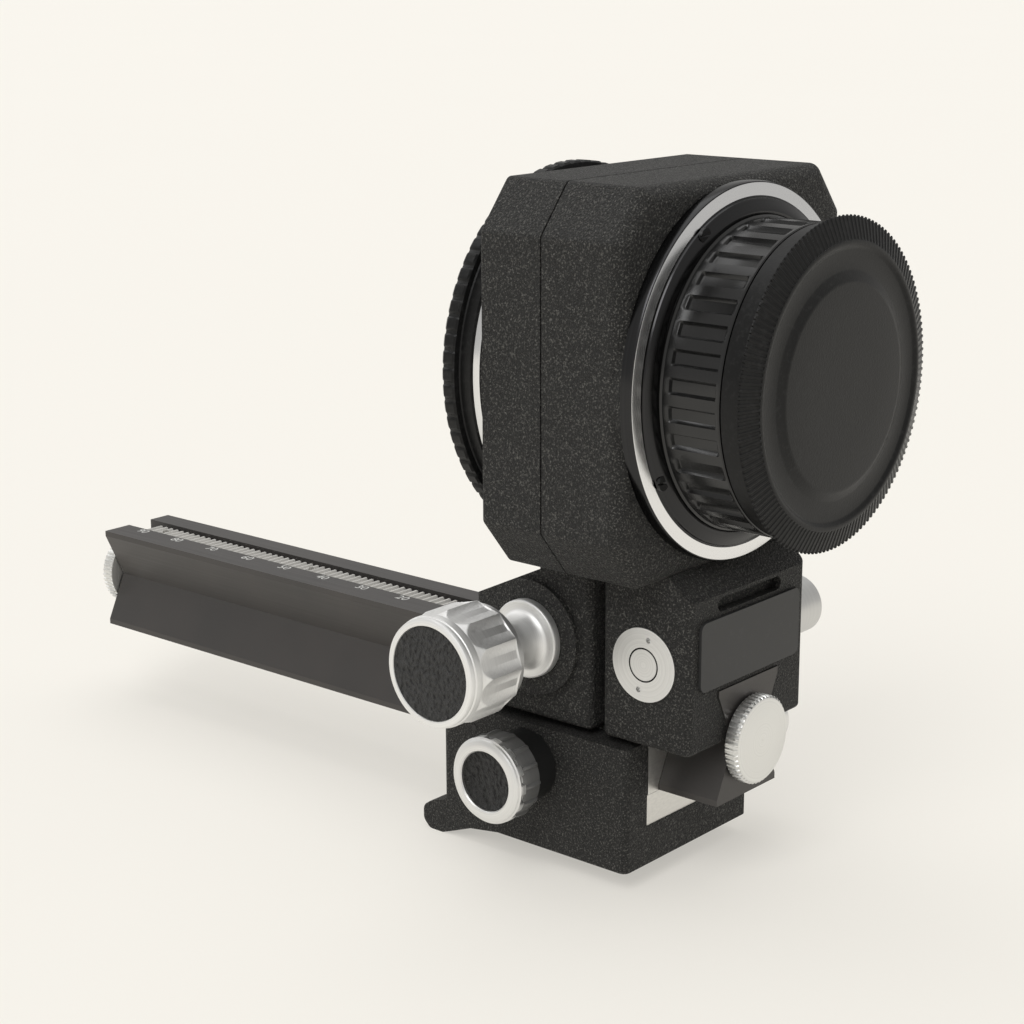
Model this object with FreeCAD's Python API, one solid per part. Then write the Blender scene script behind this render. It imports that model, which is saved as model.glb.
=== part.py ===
import FreeCAD, Part
import math
import os

V = FreeCAD.Vector

# A macro bellows unit: two standards on a double dovetail rail, held in a tripod block.
# X runs across the rail, Y along it towards the lens, Z up. The origin is the mouth of
# the tripod socket, in the plane of the foot. All sizes are in millimetres.

# Fits and gaps
SLIDE_GAP = 0.08
RUN_GAP = 0.05
SEAT_GAP = 0.03
BODY_GAP = 0.3

# Double dovetail rail and its rack
RAIL_W = 16.0
RAIL_H = 19.0
RAIL_BOTTOM = 15.0
RAIL_WAIST = 8.0
RAIL_LAND = 1.0
WAIST_GAP = 1.0
RAIL_NEAR = -28.1
RAIL_LEN = 147.0
GROOVE_LEFT = -2.0
GROOVE_W = 5.5
GROOVE_DEPTH = 2.6
GROOVE_START = 9.0
MODULE = 0.5
PINION_TEETH = 20
RACK_W = 3.9
RACK_END_GAP = 3.0
TIP_GAP = 0.1
BACKLASH = 0.1
PRESSURE_ANGLE = math.radians(20)

# Tripod block
BASE_W = 33.5
BASE_NEAR = -17.0
BASE_LEN = 38.5
BASE_LIFT = 3.3
BASE_WALL = 5.5
BASE_FLOOR = 6.5
BED_GAP = 0.15
PAD_R = 7.0
TOE_OUT = 4.6
TOE_RISE = 6.0
TOE_RUN = 12.0
TOE_ROUND = 1.5
SOCKET_R = 2.55
SOCKET_LEN = 8.0
BUSH_R = 5.0
CLAMP_Y = 2.9
CLAMP_Z = 17.2
LOCK_Y = -13.6
SCREW_R = 1.5

# Standards: octagonal shells on sliding blocks
SHELL_BOTTOM = 52.6
SHELL_W = 57.3
SHELL_H = 59.2
CHAMFER_X = 6.15
CHAMFER_Z = 7.5
WALL = 2.2
REAR_FACE = -24.4
SEAM_Y = -9.7
FRONT_FACE = 2.0
FACE_PLATE = 2.4
FRAME_T = 0.8
BEVEL = 2.4
FRONT_BEVEL = 0.6
BLOCK_W = 31.0
BLOCK_GAP_Y = 2.2
REAR_BLOCK_NEAR = -27.9
REAR_BLOCK_LEN = 16.8
FRONT_BLOCK_FAR = 15.05
GUSSET_DROP = 3.1
BACK_DROP = 6.3
EDGE_R = 1.2
SOLE_R = 0.9

# Focus drive
DRIVE_Y = 2.9
SHAFT_R = 2.0
DRIVE_BOSS_R = 9.45
DRIVE_BOSS_H = 0.8
BUSH_RIM_R = 6.4
BUSH_NECK_R = 3.9
KNOB_R = 9.1
KNOB_LEN = 11.3
KNOB_FACE = -39.9
KNOB_RIM_LEN = 1.6
KNOB_FLUTES = 12
INSERT_R = 7.35

# Locks and stops
REAR_LOCK_Y = -19.36
LOCK_KNOB_R = 4.9
LOCK_KNOB_REACH = 11.6
CAP_R = 5.9
STOP_R = 7.15
STOP_T = 2.6
STOP_GAP = 0.3

# Tripod clamp knob
CLAMP_FACE = -27.6
CLAMP_KNOB_LEN = 5.8
CLAMP_KNOB_R = 7.1
CLAMP_TEETH = 12
CLAMP_INSERT_R = 4.9
CLAMP_COLLAR_R = 5.8

# Mounts, rings and caps around the optical axis
RING_LIP = 0.2
RING_OUT = 2.0
FRONT_RING_OUT = 1.8
CONE_RISE = 1.1
CONE_WIDTH = 2.5
NECK_DROP = 4.95
BARREL_STEP = 0.3
GRIP_LEN = 9.9
GRIP_RIBS = 36
RIB_DEPTH = 0.6
THREAD_DROP = 2.6
THREAD_PITCH = 1.0
THREAD_DEPTH = 0.45
THREAD_TURNS = 4
SLEEVE_WALL = 2.8
SPIGOT_LEN = 4.0
REAR_CAP_RIM = 1.4
SKIRT_LEN = 3.8
CAP_HEAD = 1.6
CAP_CONE = 3.6
CAP_FACE_RIM = 1.2
CAP_DISH = 4.7
CAP_DISH_DEPTH = 0.4
CAP_SLOPE = 1.5
FRONT_CAP_RIM = 1.05
FRONT_DISH = 6.8
FRONT_SKIRT = 2.3
FRONT_RIM = 2.5
FRONT_CAP_NOTCHES = 36
STUB_LEN = 4.1
STUB_WALL = 2.4
MOUNT_SCREWS = 4
MOUNT_SCREW_IN = 3.35
MOUNT_SHANK_R = 0.6
MOUNT_SHANK_LEN = 2.0
MOUNT_HEAD_R = 1.15
MOUNT_HEAD_T = 0.55

# Bellows, its frames and their screws
FOLDS = 13
BELLOWS_MARGIN = 5.65
FOLD_DEPTH = 5.5
CLOTH_T = 0.35
FRAME_SCREW_IN = 3.75
FRAME_SCREW_Z = 8.0
RETAINER_SCREWS = 3
RETAINER_T = 0.95
SMALL_SHANK_R = 0.5
SMALL_SHANK_LEN = 1.9
SMALL_HEAD_R = 0.95
SMALL_HEAD_T = 0.45

# Places worked out from the sizes above
RAIL_TOP = RAIL_BOTTOM + RAIL_H
RAIL_FAR = RAIL_NEAR + RAIL_LEN
WAIST_Z = RAIL_BOTTOM + RAIL_H / 2
BASE_TOP = WAIST_Z - WAIST_GAP / 2
BLOCK_BOTTOM = WAIST_Z + WAIST_GAP / 2
BASE_FAR = BASE_NEAR + BASE_LEN
BED_Z = BASE_LIFT + BASE_FLOOR
BED_HALF = BASE_W / 2 - BASE_WALL
PITCH = math.pi * MODULE
PITCH_R = MODULE * PINION_TEETH / 2
RACK_TIP = RAIL_TOP - TIP_GAP
RACK_PITCH_Z = RACK_TIP - MODULE
RACK_ROOT = RACK_PITCH_Z - 1.25 * MODULE
DRIVE_Z = RACK_PITCH_Z + PITCH_R
RACK_LEFT = GROOVE_LEFT + SEAT_GAP
BLOCK_HALF = BLOCK_W / 2
REAR_BLOCK_FAR = REAR_BLOCK_NEAR + REAR_BLOCK_LEN
FRONT_BLOCK_NEAR = REAR_BLOCK_FAR + BLOCK_GAP_Y
REAR_SEAM = SEAM_Y - BODY_GAP / 2
FRONT_SEAM = SEAM_Y + BODY_GAP / 2
REAR_STEP = REAR_FACE + FACE_PLATE + 1.3
FRONT_STEP = FRONT_FACE - FACE_PLATE
SHELL_R = min(SHELL_W, SHELL_H) / 2
RING_R = SHELL_R + RING_LIP
CONE_R = RING_R - NECK_DROP + CONE_WIDTH
NECK_R = RING_R - NECK_DROP
GRIP_R = NECK_R - BARREL_STEP
THREAD_R = GRIP_R - THREAD_DROP
REAR_HOLE_R = THREAD_R - 0.5
SLEEVE_R = REAR_HOLE_R - 2 * RUN_GAP
SLEEVE_IN = SLEEVE_R - SLEEVE_WALL
SPIGOT_R = SLEEVE_R - 0.8
RETAINER_R = NECK_R - 3 * BARREL_STEP
RETAINER_PCR = (SLEEVE_R + SLEEVE_IN) / 2
WELL_R = NECK_R - RUN_GAP * 2
REAR_CAP_R = GRIP_R + REAR_CAP_RIM
LENS_THREAD_R = THREAD_R - 0.5
FRONT_HOLE_R = LENS_THREAD_R + 1.5
STUB_R = LENS_THREAD_R - BODY_GAP
STUB_IN = STUB_R - STUB_WALL
FRONT_CAP_R = RING_R + FRONT_CAP_RIM
MOUNT_SCREW_PCR = RING_R - MOUNT_SCREW_IN
BELLOWS_OUT = SHELL_R - BELLOWS_MARGIN
BELLOWS_IN = BELLOWS_OUT - FOLD_DEPTH
FRAME_SCREW_X = SHELL_W / 2 - FRAME_SCREW_IN
LOCK_KNOB_END = BLOCK_HALF + LOCK_KNOB_REACH
AXIS_Z = SHELL_BOTTOM + SHELL_H / 2
GUSSET_TOP = SHELL_BOTTOM - GUSSET_DROP


def box(x0, x1, y0, y1, z0, z1):
    return Part.makeBox(x1 - x0, y1 - y0, z1 - z0, V(x0, y0, z0))


def rod_x(r, x0, x1, y, z):
    return Part.makeCylinder(r, x1 - x0, V(x0, y, z), V(1, 0, 0))


def rod_y(r, y0, y1, x, z):
    return Part.makeCylinder(r, y1 - y0, V(x, y0, z), V(0, 1, 0))


def rod_z(r, z0, z1, x, y):
    return Part.makeCylinder(r, z1 - z0, V(x, y, z0), V(0, 0, 1))


def prism_y(outline, y0, y1):
    """Outline of (x, z) points, carried from y0 to y1."""
    wire = Part.makePolygon([V(x, y0, z) for x, z in outline + outline[:1]])
    return Part.Face(wire).extrude(V(0, y1 - y0, 0))


def prism_x(outline, x0, x1):
    """Outline of (y, z) points, carried from x0 to x1."""
    wire = Part.makePolygon([V(x0, y, z) for y, z in outline + outline[:1]])
    return Part.Face(wire).extrude(V(x1 - x0, 0, 0))


def turned_y(outline, x=0.0, z=AXIS_Z):
    """Outline of (radius, y) points, turned about the line along Y through (x, z)."""
    wire = Part.makePolygon([V(x + r, y, z) for r, y in outline + outline[:1]])
    return Part.Face(wire).revolve(V(x, 0, z), V(0, 1, 0), 360)


def turned_x(outline, y, z):
    """Outline of (radius, x) points, turned about the line along X through (y, z)."""
    wire = Part.makePolygon([V(px, y, z + r) for r, px in outline + outline[:1]])
    return Part.Face(wire).revolve(V(0, y, z), V(1, 0, 0), 360)


def around_axis(radius, count, first_deg=30.0):
    """Places (x, z, angle) spaced evenly on a circle about the optical axis."""
    for i in range(count):
        a = math.radians(first_deg) + 2 * math.pi * i / count
        yield radius * math.cos(a), AXIS_Z + radius * math.sin(a), a


def rounded(shape, radius, keep):
    """Round the edges for which keep(edge) is true."""
    edges = [e for e in shape.Edges if keep(e)]
    return shape.makeFillet(radius, edges)


def runs_along(edge, axis):
    if not isinstance(edge.Curve, Part.Line):
        return False
    return abs(getattr(edge.Curve.Direction, axis)) > 0.999


def octagon(inset=0.0):
    """Corners (x, z) of the standards' outline, moved in by inset."""
    half_w = SHELL_W / 2 - inset
    half_h = SHELL_H / 2 - inset
    shift = inset * (math.hypot(CHAMFER_X, CHAMFER_Z) - CHAMFER_X - CHAMFER_Z)
    cut_x = CHAMFER_X + shift / CHAMFER_Z
    cut_z = CHAMFER_Z + shift / CHAMFER_X
    corners = [(half_w - cut_x, half_h), (half_w, half_h - cut_z)]
    corners += [(x, -z) for x, z in reversed(corners)]
    corners += [(-x, z) for x, z in reversed(corners)]
    return [(x, AXIS_Z + z) for x, z in corners]


def dovetail(gap=0.0):
    """Section (x, z) of the double dovetail rail, grown by gap."""
    half = RAIL_W / 2 + gap
    waist = RAIL_WAIST / 2 + gap
    low, high = RAIL_BOTTOM - gap, RAIL_TOP + gap
    right = [(half, low), (half, RAIL_BOTTOM + RAIL_LAND), (waist, WAIST_Z)]
    right += [(half, RAIL_TOP - RAIL_LAND), (half, high)]
    return right + [(-x, z) for x, z in reversed(right)]


def involute_angle(r):
    base_r = PITCH_R * math.cos(PRESSURE_ANGLE)
    a = math.acos(min(1.0, base_r / r))
    return math.tan(a) - a


def pinion_outline():
    """Outline (y, z) of the pinion, one tooth pointing straight down."""
    root_r = PITCH_R - 1.25 * MODULE
    base_r = PITCH_R * math.cos(PRESSURE_ANGLE)
    tip_r = PITCH_R + MODULE
    half_at_pitch = math.pi / (2 * PINION_TEETH) - BACKLASH / (2 * PITCH_R)
    flank = []
    for r in (base_r, (base_r + PITCH_R) / 2, PITCH_R, (PITCH_R + tip_r) / 2, tip_r):
        flank.append((r, half_at_pitch + involute_angle(PITCH_R) - involute_angle(r)))
    flank.insert(0, (root_r, flank[0][1]))
    points = []
    for i in range(PINION_TEETH):
        centre = -math.pi / 2 + 2 * math.pi * i / PINION_TEETH
        side = [(r, centre - a) for r, a in flank] + [(r, centre + a) for r, a in reversed(flank)]
        points += [(DRIVE_Y + r * math.cos(t), DRIVE_Z + r * math.sin(t)) for r, t in side]
    return points


def screw_y(x, z, seat_y, out, head_r, head_t, shank_r, shank_len):
    """A screw along Y: its head stands out of seat_y in direction out, its shank goes the other way."""
    head_far = seat_y + out * head_t
    tip = seat_y - out * shank_len
    head = rod_y(head_r, min(seat_y, head_far), max(seat_y, head_far), x, z)
    shank = rod_y(shank_r, min(seat_y, tip), max(seat_y, tip), x, z)
    slot_y = head_far - out * head_t / 2
    slot = box(x - head_r, x + head_r, min(slot_y, head_far), max(slot_y, head_far), z - 0.15, z + 0.15)
    return head.fuse(shank).cut(slot)


# Rail: one drawn bar with a dovetail above and below, grooved for the rack
def make_rail():
    bar = prism_y(dovetail(), RAIL_NEAR, RAIL_FAR)
    groove = box(GROOVE_LEFT, GROOVE_LEFT + GROOVE_W, RAIL_NEAR + GROOVE_START, RAIL_FAR,
                 RAIL_TOP - GROOVE_DEPTH, RAIL_TOP + 1)
    bar = bar.cut(groove)
    for end in (RAIL_NEAR, RAIL_FAR - STOP_SCREW_DEPTH):
        bar = bar.cut(rod_y(SCREW_R + RUN_GAP, end, end + STOP_SCREW_DEPTH, 0, WAIST_Z))
    for y in rack_screw_places():
        bar = bar.cut(rod_z(RACK_SCREW_R + SEAT_GAP, RACK_BASE - RACK_SCREW_LEN, RACK_BASE, RACK_MID, y))
    return bar


STOP_SCREW_DEPTH = 9.0
RACK_BASE = RAIL_TOP - GROOVE_DEPTH
RACK_MID = RACK_LEFT + RACK_W / 2
RACK_SCREW_R = 0.8
RACK_SCREW_LEN = 4.0
RACK_SCREWS = 4


def rack_span():
    """First and last tooth gap of the rack, in pitches from the pinion's axis."""
    first = math.ceil((RAIL_NEAR + GROOVE_START + SEAT_GAP - DRIVE_Y) / PITCH)
    last = math.floor((RAIL_FAR - RACK_END_GAP - DRIVE_Y) / PITCH)
    return first, last


def rack_screw_places():
    first, last = rack_span()
    start = DRIVE_Y + (first + 3) * PITCH
    step = (last - first - 6) * PITCH / (RACK_SCREWS - 1)
    return [start + i * step for i in range(RACK_SCREWS)]


def make_rack():
    first, last = rack_span()
    half_tip = PITCH / 4 - MODULE * math.tan(PRESSURE_ANGLE)
    half_root = PITCH / 4 + 1.25 * MODULE * math.tan(PRESSURE_ANGLE)
    outline = [(DRIVE_Y + first * PITCH, RACK_BASE), (DRIVE_Y + first * PITCH, RACK_ROOT)]
    for i in range(first, last):
        y = DRIVE_Y + (i + 0.5) * PITCH
        outline += [(y - half_root, RACK_ROOT), (y - half_tip, RACK_TIP)]
        outline += [(y + half_tip, RACK_TIP), (y + half_root, RACK_ROOT)]
    outline += [(DRIVE_Y + last * PITCH, RACK_ROOT), (DRIVE_Y + last * PITCH, RACK_BASE)]
    rack = prism_x(outline, RACK_LEFT, RACK_LEFT + RACK_W)
    for y in rack_screw_places():
        rack = rack.cut(rod_z(RACK_SCREW_R + SEAT_GAP, RACK_BASE, RACK_TIP, RACK_MID, y))
    return rack


def make_rack_screws():
    top = RACK_ROOT
    return [rod_z(RACK_SCREW_R, RACK_BASE - RACK_SCREW_LEN, top, RACK_MID, y) for y in rack_screw_places()]


# Tripod block: a U-shaped casting on a round pad and a toe
def make_base_block():
    half = BASE_W / 2
    body = box(-half, half, BASE_NEAR, BASE_FAR, BASE_LIFT, BASE_TOP)
    toe_far = BASE_FAR + TOE_OUT
    toe = [(BASE_FAR - TOE_RUN, BASE_LIFT), (BASE_FAR - TOE_RUN / 2, BASE_LIFT - 0.9),
           (BASE_FAR - TOE_RUN / 5, BASE_LIFT - 2.3), (BASE_FAR + 0.3, 0.0), (toe_far - 1.4, 0.0),
           (toe_far, 1.4), (toe_far, TOE_RISE - 2.2), (toe_far - 1.5, TOE_RISE - 1.1),
           (BASE_FAR, TOE_RISE), (BASE_FAR - TOE_RUN, TOE_RISE)]
    tip = rounded(prism_x(toe, -half, half), TOE_ROUND,
                  lambda e: runs_along(e, "x") and e.Vertexes[0].Point.y > toe_far - TOE_ROUND - 0.1)
    body = body.fuse(tip).removeSplitter()
    body = rounded(body, EDGE_R, lambda e: runs_along(e, "z") and e.Length > 3 * EDGE_R)
    pad = rod_z(PAD_R, 0, BASE_LIFT + EDGE_R, 0, 0)
    body = body.fuse(pad)
    body = body.cut(box(-BED_HALF, BED_HALF, BASE_NEAR, BASE_FAR, BED_Z, BASE_TOP + 1))
    body = body.cut(rod_z(BUSH_R + SEAT_GAP, -1, BED_Z + 1, 0, 0))
    body = body.cut(rod_x(SCREW_R + RUN_GAP, -half - 1, -BED_HALF + 1, CLAMP_Y, CLAMP_Z))
    body = body.cut(rod_x(SCREW_R + RUN_GAP, BED_HALF - 1, half + 1, LOCK_Y, CLAMP_Z))
    for x, y in bed_screw_places():
        body = body.cut(rod_z(BED_SCREW_R + SEAT_GAP, BASE_LIFT - 1, BED_Z + 1, x, y))
        body = body.cut(rod_z(BED_HEAD_R + SEAT_GAP, BASE_LIFT - 1, BASE_LIFT + BED_HEAD_T, x, y))
    for y, z in BASE_PIN_PLACES:
        body = body.cut(rod_x(BASE_PIN_R + SEAT_GAP, -half - 1, -half + BASE_PIN_LEN, y, z))
    return body


BED_SCREW_R = 1.2
BED_HEAD_R = 2.2
BED_HEAD_T = 1.4
BED_SCREW_LEN = 9.5
BED_SCREW_IN = 2.25
BED_SCREW_END = 7.0
BASE_PIN_R = 0.5
BASE_PIN_LEN = 3.0
BASE_PIN_PLACES = [(-11.0, 19.0), (14.5, 20.5)]


def bed_screw_places():
    y_in = BASE_LEN / 2 - BED_SCREW_END
    y_mid = (BASE_NEAR + BASE_FAR) / 2
    return [(x, y_mid + y) for x in (-BED_HALF + BED_SCREW_IN, BED_HALF - BED_SCREW_IN)
            for y in (-y_in, y_in)]


def make_tripod_bush():
    bush = rod_z(BUSH_R, 0, BED_Z - BED_GAP, 0, 0)
    return bush.cut(rod_z(SOCKET_R, 0, SOCKET_LEN, 0, 0))


def make_jaw_bed():
    half = BED_HALF - SEAT_GAP
    rail = dovetail(SLIDE_GAP)
    right_flank = [rail[0], rail[1], rail[2]]
    top_x = right_flank[2][0] + (right_flank[1][0] - right_flank[2][0]) * (WAIST_Z - BASE_TOP) / (
        WAIST_Z - right_flank[1][1])
    jaw_z = RAIL_BOTTOM - SLIDE_GAP
    outline = [(-half, BED_Z), (half, BED_Z), (half, BASE_TOP), (top_x, BASE_TOP), right_flank[1]]
    outline += [(right_flank[0][0], jaw_z), (-half, jaw_z)]
    bed = prism_y(outline, BASE_NEAR + BED_GAP, BASE_FAR - BED_GAP)
    for x, y in bed_screw_places():
        bed = bed.cut(rod_z(BED_SCREW_R + SEAT_GAP, BED_Z, BASE_LIFT + BED_SCREW_LEN + 0.3, x, y))
    return bed.cut(rod_x(SCREW_R + RUN_GAP, RAIL_WAIST / 2, half + 1, LOCK_Y, CLAMP_Z))


JAW_TRAVEL = 0.4
JAW_RELEASE = 0.25


def make_jaw():
    half = BED_HALF - SEAT_GAP
    rail = dovetail(SLIDE_GAP)
    flank_low, flank_waist = rail[-2], rail[-3]
    top_x = flank_waist[0] + (flank_low[0] - flank_waist[0]) * (WAIST_Z - BASE_TOP) / (
        WAIST_Z - flank_low[1])
    foot = RAIL_BOTTOM - SLIDE_GAP + RUN_GAP
    outline = [(-half + JAW_TRAVEL, foot), (flank_low[0], foot), flank_low, (top_x, BASE_TOP),
               (-half + JAW_TRAVEL, BASE_TOP)]
    return prism_y(outline, BASE_NEAR + BED_GAP, BASE_FAR - BED_GAP)


def make_bed_screws():
    screws = []
    for x, y in bed_screw_places():
        head = rod_z(BED_HEAD_R, BASE_LIFT + 0.1, BASE_LIFT + BED_HEAD_T, x, y)
        head = head.cut(box(x - BED_HEAD_R, x + BED_HEAD_R, y - 0.3, y + 0.3, BASE_LIFT, BASE_LIFT + 0.7))
        screws.append(head.fuse(rod_z(BED_SCREW_R, BASE_LIFT + BED_HEAD_T, BASE_LIFT + BED_SCREW_LEN, x, y)))
    return screws


def make_base_pins():
    left = -BASE_W / 2
    return [rod_x(BASE_PIN_R, left - 0.05, left + BASE_PIN_LEN, y, z) for y, z in BASE_PIN_PLACES]


# Standards: hollow octagonal shell and sliding block in one casting
def shell(face_y, seam_y, step_y, hole_r, bevel):
    low, high = min(face_y, seam_y), max(face_y, seam_y)
    body = prism_y(octagon(), low, high)
    body = rounded(body, EDGE_R, lambda e: runs_along(e, "y"))
    body = rounded(body, bevel, lambda e: all(abs(v.Point.y - face_y) < 1e-6 for v in e.Vertexes))
    body = body.cut(prism_y(octagon(WALL), min(step_y, seam_y), max(step_y, seam_y)))
    return body.cut(rod_y(hole_r, low - 1, high + 1, 0, AXIS_Z))


def block(outline):
    body = prism_x(outline, -BLOCK_HALF, BLOCK_HALF)
    body = rounded(body, EDGE_R, lambda e: runs_along(e, "z"))
    body = rounded(body, SOLE_R, lambda e: all(abs(v.Point.z - BLOCK_BOTTOM) < 1e-6 for v in e.Vertexes))
    return body.cut(prism_y(dovetail(SLIDE_GAP), RAIL_NEAR - 1, RAIL_FAR + 1))


BLOCK_TOP = SHELL_BOTTOM + WALL - 0.4
PLATE_W = 26.6
PLATE_H = 11.0
PLATE_T = 0.5
PLATE_BOTTOM = 35.0
PLATE_CORNER_R = 1.3
SLOT_W = 17.0
SLOT_H = 2.2
SLOT_GAP = 0.7
SLOT_DEPTH = 1.6
PAD_PIN_R = 2.0
PAD_PIN_X = -5.0
PRESSER_R = 2.5
CAP_T = 1.6
CAP_PROUD = 0.3


def make_rear_standard():
    outline = [(REAR_BLOCK_NEAR, BLOCK_BOTTOM), (REAR_BLOCK_FAR, BLOCK_BOTTOM), (REAR_BLOCK_FAR, BLOCK_TOP),
               (REAR_FACE + BEVEL, BLOCK_TOP), (REAR_FACE, SHELL_BOTTOM), (REAR_BLOCK_NEAR, GUSSET_TOP)]
    body = shell(REAR_FACE, REAR_SEAM, REAR_STEP, REAR_HOLE_R, BEVEL)
    body = body.cut(rod_y(WELL_R, REAR_FACE + FACE_PLATE, REAR_STEP, 0, AXIS_Z))
    boss = rod_y(SHELL_R, REAR_FACE - SEAT_GAP, REAR_FACE + BEVEL, 0, AXIS_Z)
    boss = boss.cut(rod_y(REAR_HOLE_R, REAR_FACE - 1, REAR_SEAM, 0, AXIS_Z))
    body = body.fuse([boss, block(outline)]).removeSplitter()
    body = body.cut(rod_x(SHAFT_R + RUN_GAP, -BLOCK_HALF - 1, BLOCK_HALF + 1, REAR_LOCK_Y, DRIVE_Z))
    pocket_x = PAD_PIN_X + PAD_PIN_R + 1
    body = body.cut(rod_x(PRESSER_R + 0.3, -BLOCK_HALF - 1, pocket_x, REAR_LOCK_Y, DRIVE_Z))
    body = body.cut(rod_x(CAP_R + SEAT_GAP, -BLOCK_HALF - 1, -BLOCK_HALF + CAP_T, REAR_LOCK_Y, DRIVE_Z))
    body = body.cut(rod_z(PAD_PIN_R + SEAT_GAP, RAIL_TOP, DRIVE_Z, PAD_PIN_X, REAR_LOCK_Y))
    slot_z = PLATE_BOTTOM + PLATE_H + SLOT_GAP + SLOT_H / 2
    slot = box(-SLOT_W / 2 + SLOT_H / 2, SLOT_W / 2 - SLOT_H / 2, REAR_BLOCK_NEAR - 1,
               REAR_BLOCK_NEAR + SLOT_DEPTH, slot_z - SLOT_H / 2, slot_z + SLOT_H / 2)
    for x in (-SLOT_W / 2 + SLOT_H / 2, SLOT_W / 2 - SLOT_H / 2):
        slot = slot.fuse(rod_y(SLOT_H / 2, REAR_BLOCK_NEAR - 1, REAR_BLOCK_NEAR + SLOT_DEPTH, x, slot_z))
    body = body.cut(slot)
    for x, z, _ in around_axis(MOUNT_SCREW_PCR, MOUNT_SCREWS):
        body = body.cut(rod_y(MOUNT_SHANK_R + SEAT_GAP, REAR_FACE - 1, REAR_FACE + MOUNT_SHANK_LEN, x, z))
    return body.cut(frame_screw_holes(REAR_STEP, -1))



def make_front_standard():
    outline = [(FRONT_BLOCK_NEAR, BLOCK_BOTTOM), (FRONT_BLOCK_FAR, BLOCK_BOTTOM),
               (FRONT_BLOCK_FAR, GUSSET_TOP - BACK_DROP), (FRONT_FACE, GUSSET_TOP),
               (FRONT_FACE, SHELL_BOTTOM),
               (FRONT_FACE - FRONT_BEVEL, BLOCK_TOP), (FRONT_BLOCK_NEAR, BLOCK_TOP)]
    body = shell(FRONT_FACE, FRONT_SEAM, FRONT_STEP, FRONT_HOLE_R, FRONT_BEVEL)
    rim = rod_y(SHELL_R, FRONT_FACE - FRONT_BEVEL, FRONT_FACE + SEAT_GAP, 0, AXIS_Z)
    rim = rim.cut(rod_y(FRONT_HOLE_R, FRONT_SEAM, FRONT_FACE + 1, 0, AXIS_Z))
    drive_boss = rod_x(DRIVE_BOSS_R, -BLOCK_HALF - DRIVE_BOSS_H, -BLOCK_HALF + 2, DRIVE_Y, DRIVE_Z)
    body = body.fuse([rim, block(outline), drive_boss]).removeSplitter()
    left = -BLOCK_HALF - DRIVE_BOSS_H
    body = body.cut(rod_x(BUSH_SLEEVE_R + SEAT_GAP, left - 1, BUSH_TIP, DRIVE_Y, DRIVE_Z))
    body = body.cut(rod_x(SHAFT_R + RUN_GAP, left - 1, BLOCK_HALF + 1, DRIVE_Y, DRIVE_Z))
    cavity_r = PITCH_R + MODULE + 0.4
    body = body.cut(rod_x(cavity_r, PINION_LEFT - 0.3, PINION_LEFT + PINION_W + 0.3, DRIVE_Y, DRIVE_Z))
    body = body.cut(rod_x(CAP_R + SEAT_GAP, BLOCK_HALF - CAP_T, BLOCK_HALF + 1, DRIVE_Y, DRIVE_Z))
    for x, z, _ in around_axis(MOUNT_SCREW_PCR, MOUNT_SCREWS):
        hole_end = FRONT_FACE - MOUNT_SHANK_LEN * 0.8
        body = body.cut(rod_y(MOUNT_SHANK_R + SEAT_GAP, hole_end, FRONT_FACE + 1, x, z))
    return body.cut(frame_screw_holes(FRONT_STEP, 1))


BUSH_SLEEVE_R = 3.2
BUSH_TIP = -4.0
BUSH_RIM_T = 0.6
PINION_W = 3.8
PINION_LEFT = RACK_LEFT + (RACK_W - PINION_W) / 2


def make_name_plate():
    half = PLATE_W / 2
    plate = box(-half, half, REAR_BLOCK_NEAR - PLATE_T, REAR_BLOCK_NEAR - SEAT_GAP,
                PLATE_BOTTOM, PLATE_BOTTOM + PLATE_H)
    return rounded(plate, PLATE_CORNER_R, lambda e: runs_along(e, "y"))


def spanner_cap(inner_x, outer_x, y):
    """A turned cap in the block's side with two spanner holes; the pin in its middle is the shaft."""
    low, high = min(inner_x, outer_x), max(inner_x, outer_x)
    cap = rod_x(CAP_R, low, high, y, DRIVE_Z)
    cap = cap.cut(rod_x(CAP_PIN_R + SEAT_GAP, low - 1, high + 1, y, DRIVE_Z))
    hole_low, hole_high = min(outer_x, outer_x - math.copysign(0.8, outer_x)), max(
        outer_x, outer_x - math.copysign(0.8, outer_x))
    for side in (-1, 1):
        cap = cap.cut(rod_x(0.45, hole_low, hole_high, y - side * 0.9, DRIVE_Z + side * 4.1))
    return cap


CAP_PIN_R = 2.5


def make_rear_shaft_cap():
    return spanner_cap(-BLOCK_HALF + CAP_T - SEAT_GAP, -BLOCK_HALF - CAP_PROUD, REAR_LOCK_Y)


def make_front_shaft_cap():
    cap = rod_x(CAP_R, BLOCK_HALF - CAP_T + SEAT_GAP, BLOCK_HALF + CAP_PROUD, DRIVE_Y, DRIVE_Z)
    cap = cap.cut(rod_x(SHAFT_R + RUN_GAP, BLOCK_HALF - CAP_T, BLOCK_HALF - 0.4, DRIVE_Y, DRIVE_Z))
    for side in (-1, 1):
        cap = cap.cut(rod_x(0.45, BLOCK_HALF - 0.5, BLOCK_HALF + 1, DRIVE_Y, DRIVE_Z + side * 4.1))
    return cap


# Lock on the camera standard: cross shaft over a brass pad that bears on the rail
def make_rear_lock_shaft():
    presser_end = PAD_PIN_X + PAD_PIN_R + 0.8
    shaft = rod_x(CAP_PIN_R, -BLOCK_HALF - CAP_PROUD, presser_end, REAR_LOCK_Y, DRIVE_Z)
    return shaft.fuse(rod_x(SHAFT_R, presser_end - 0.1, LOCK_KNOB_END - 2.0, REAR_LOCK_Y, DRIVE_Z))


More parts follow.
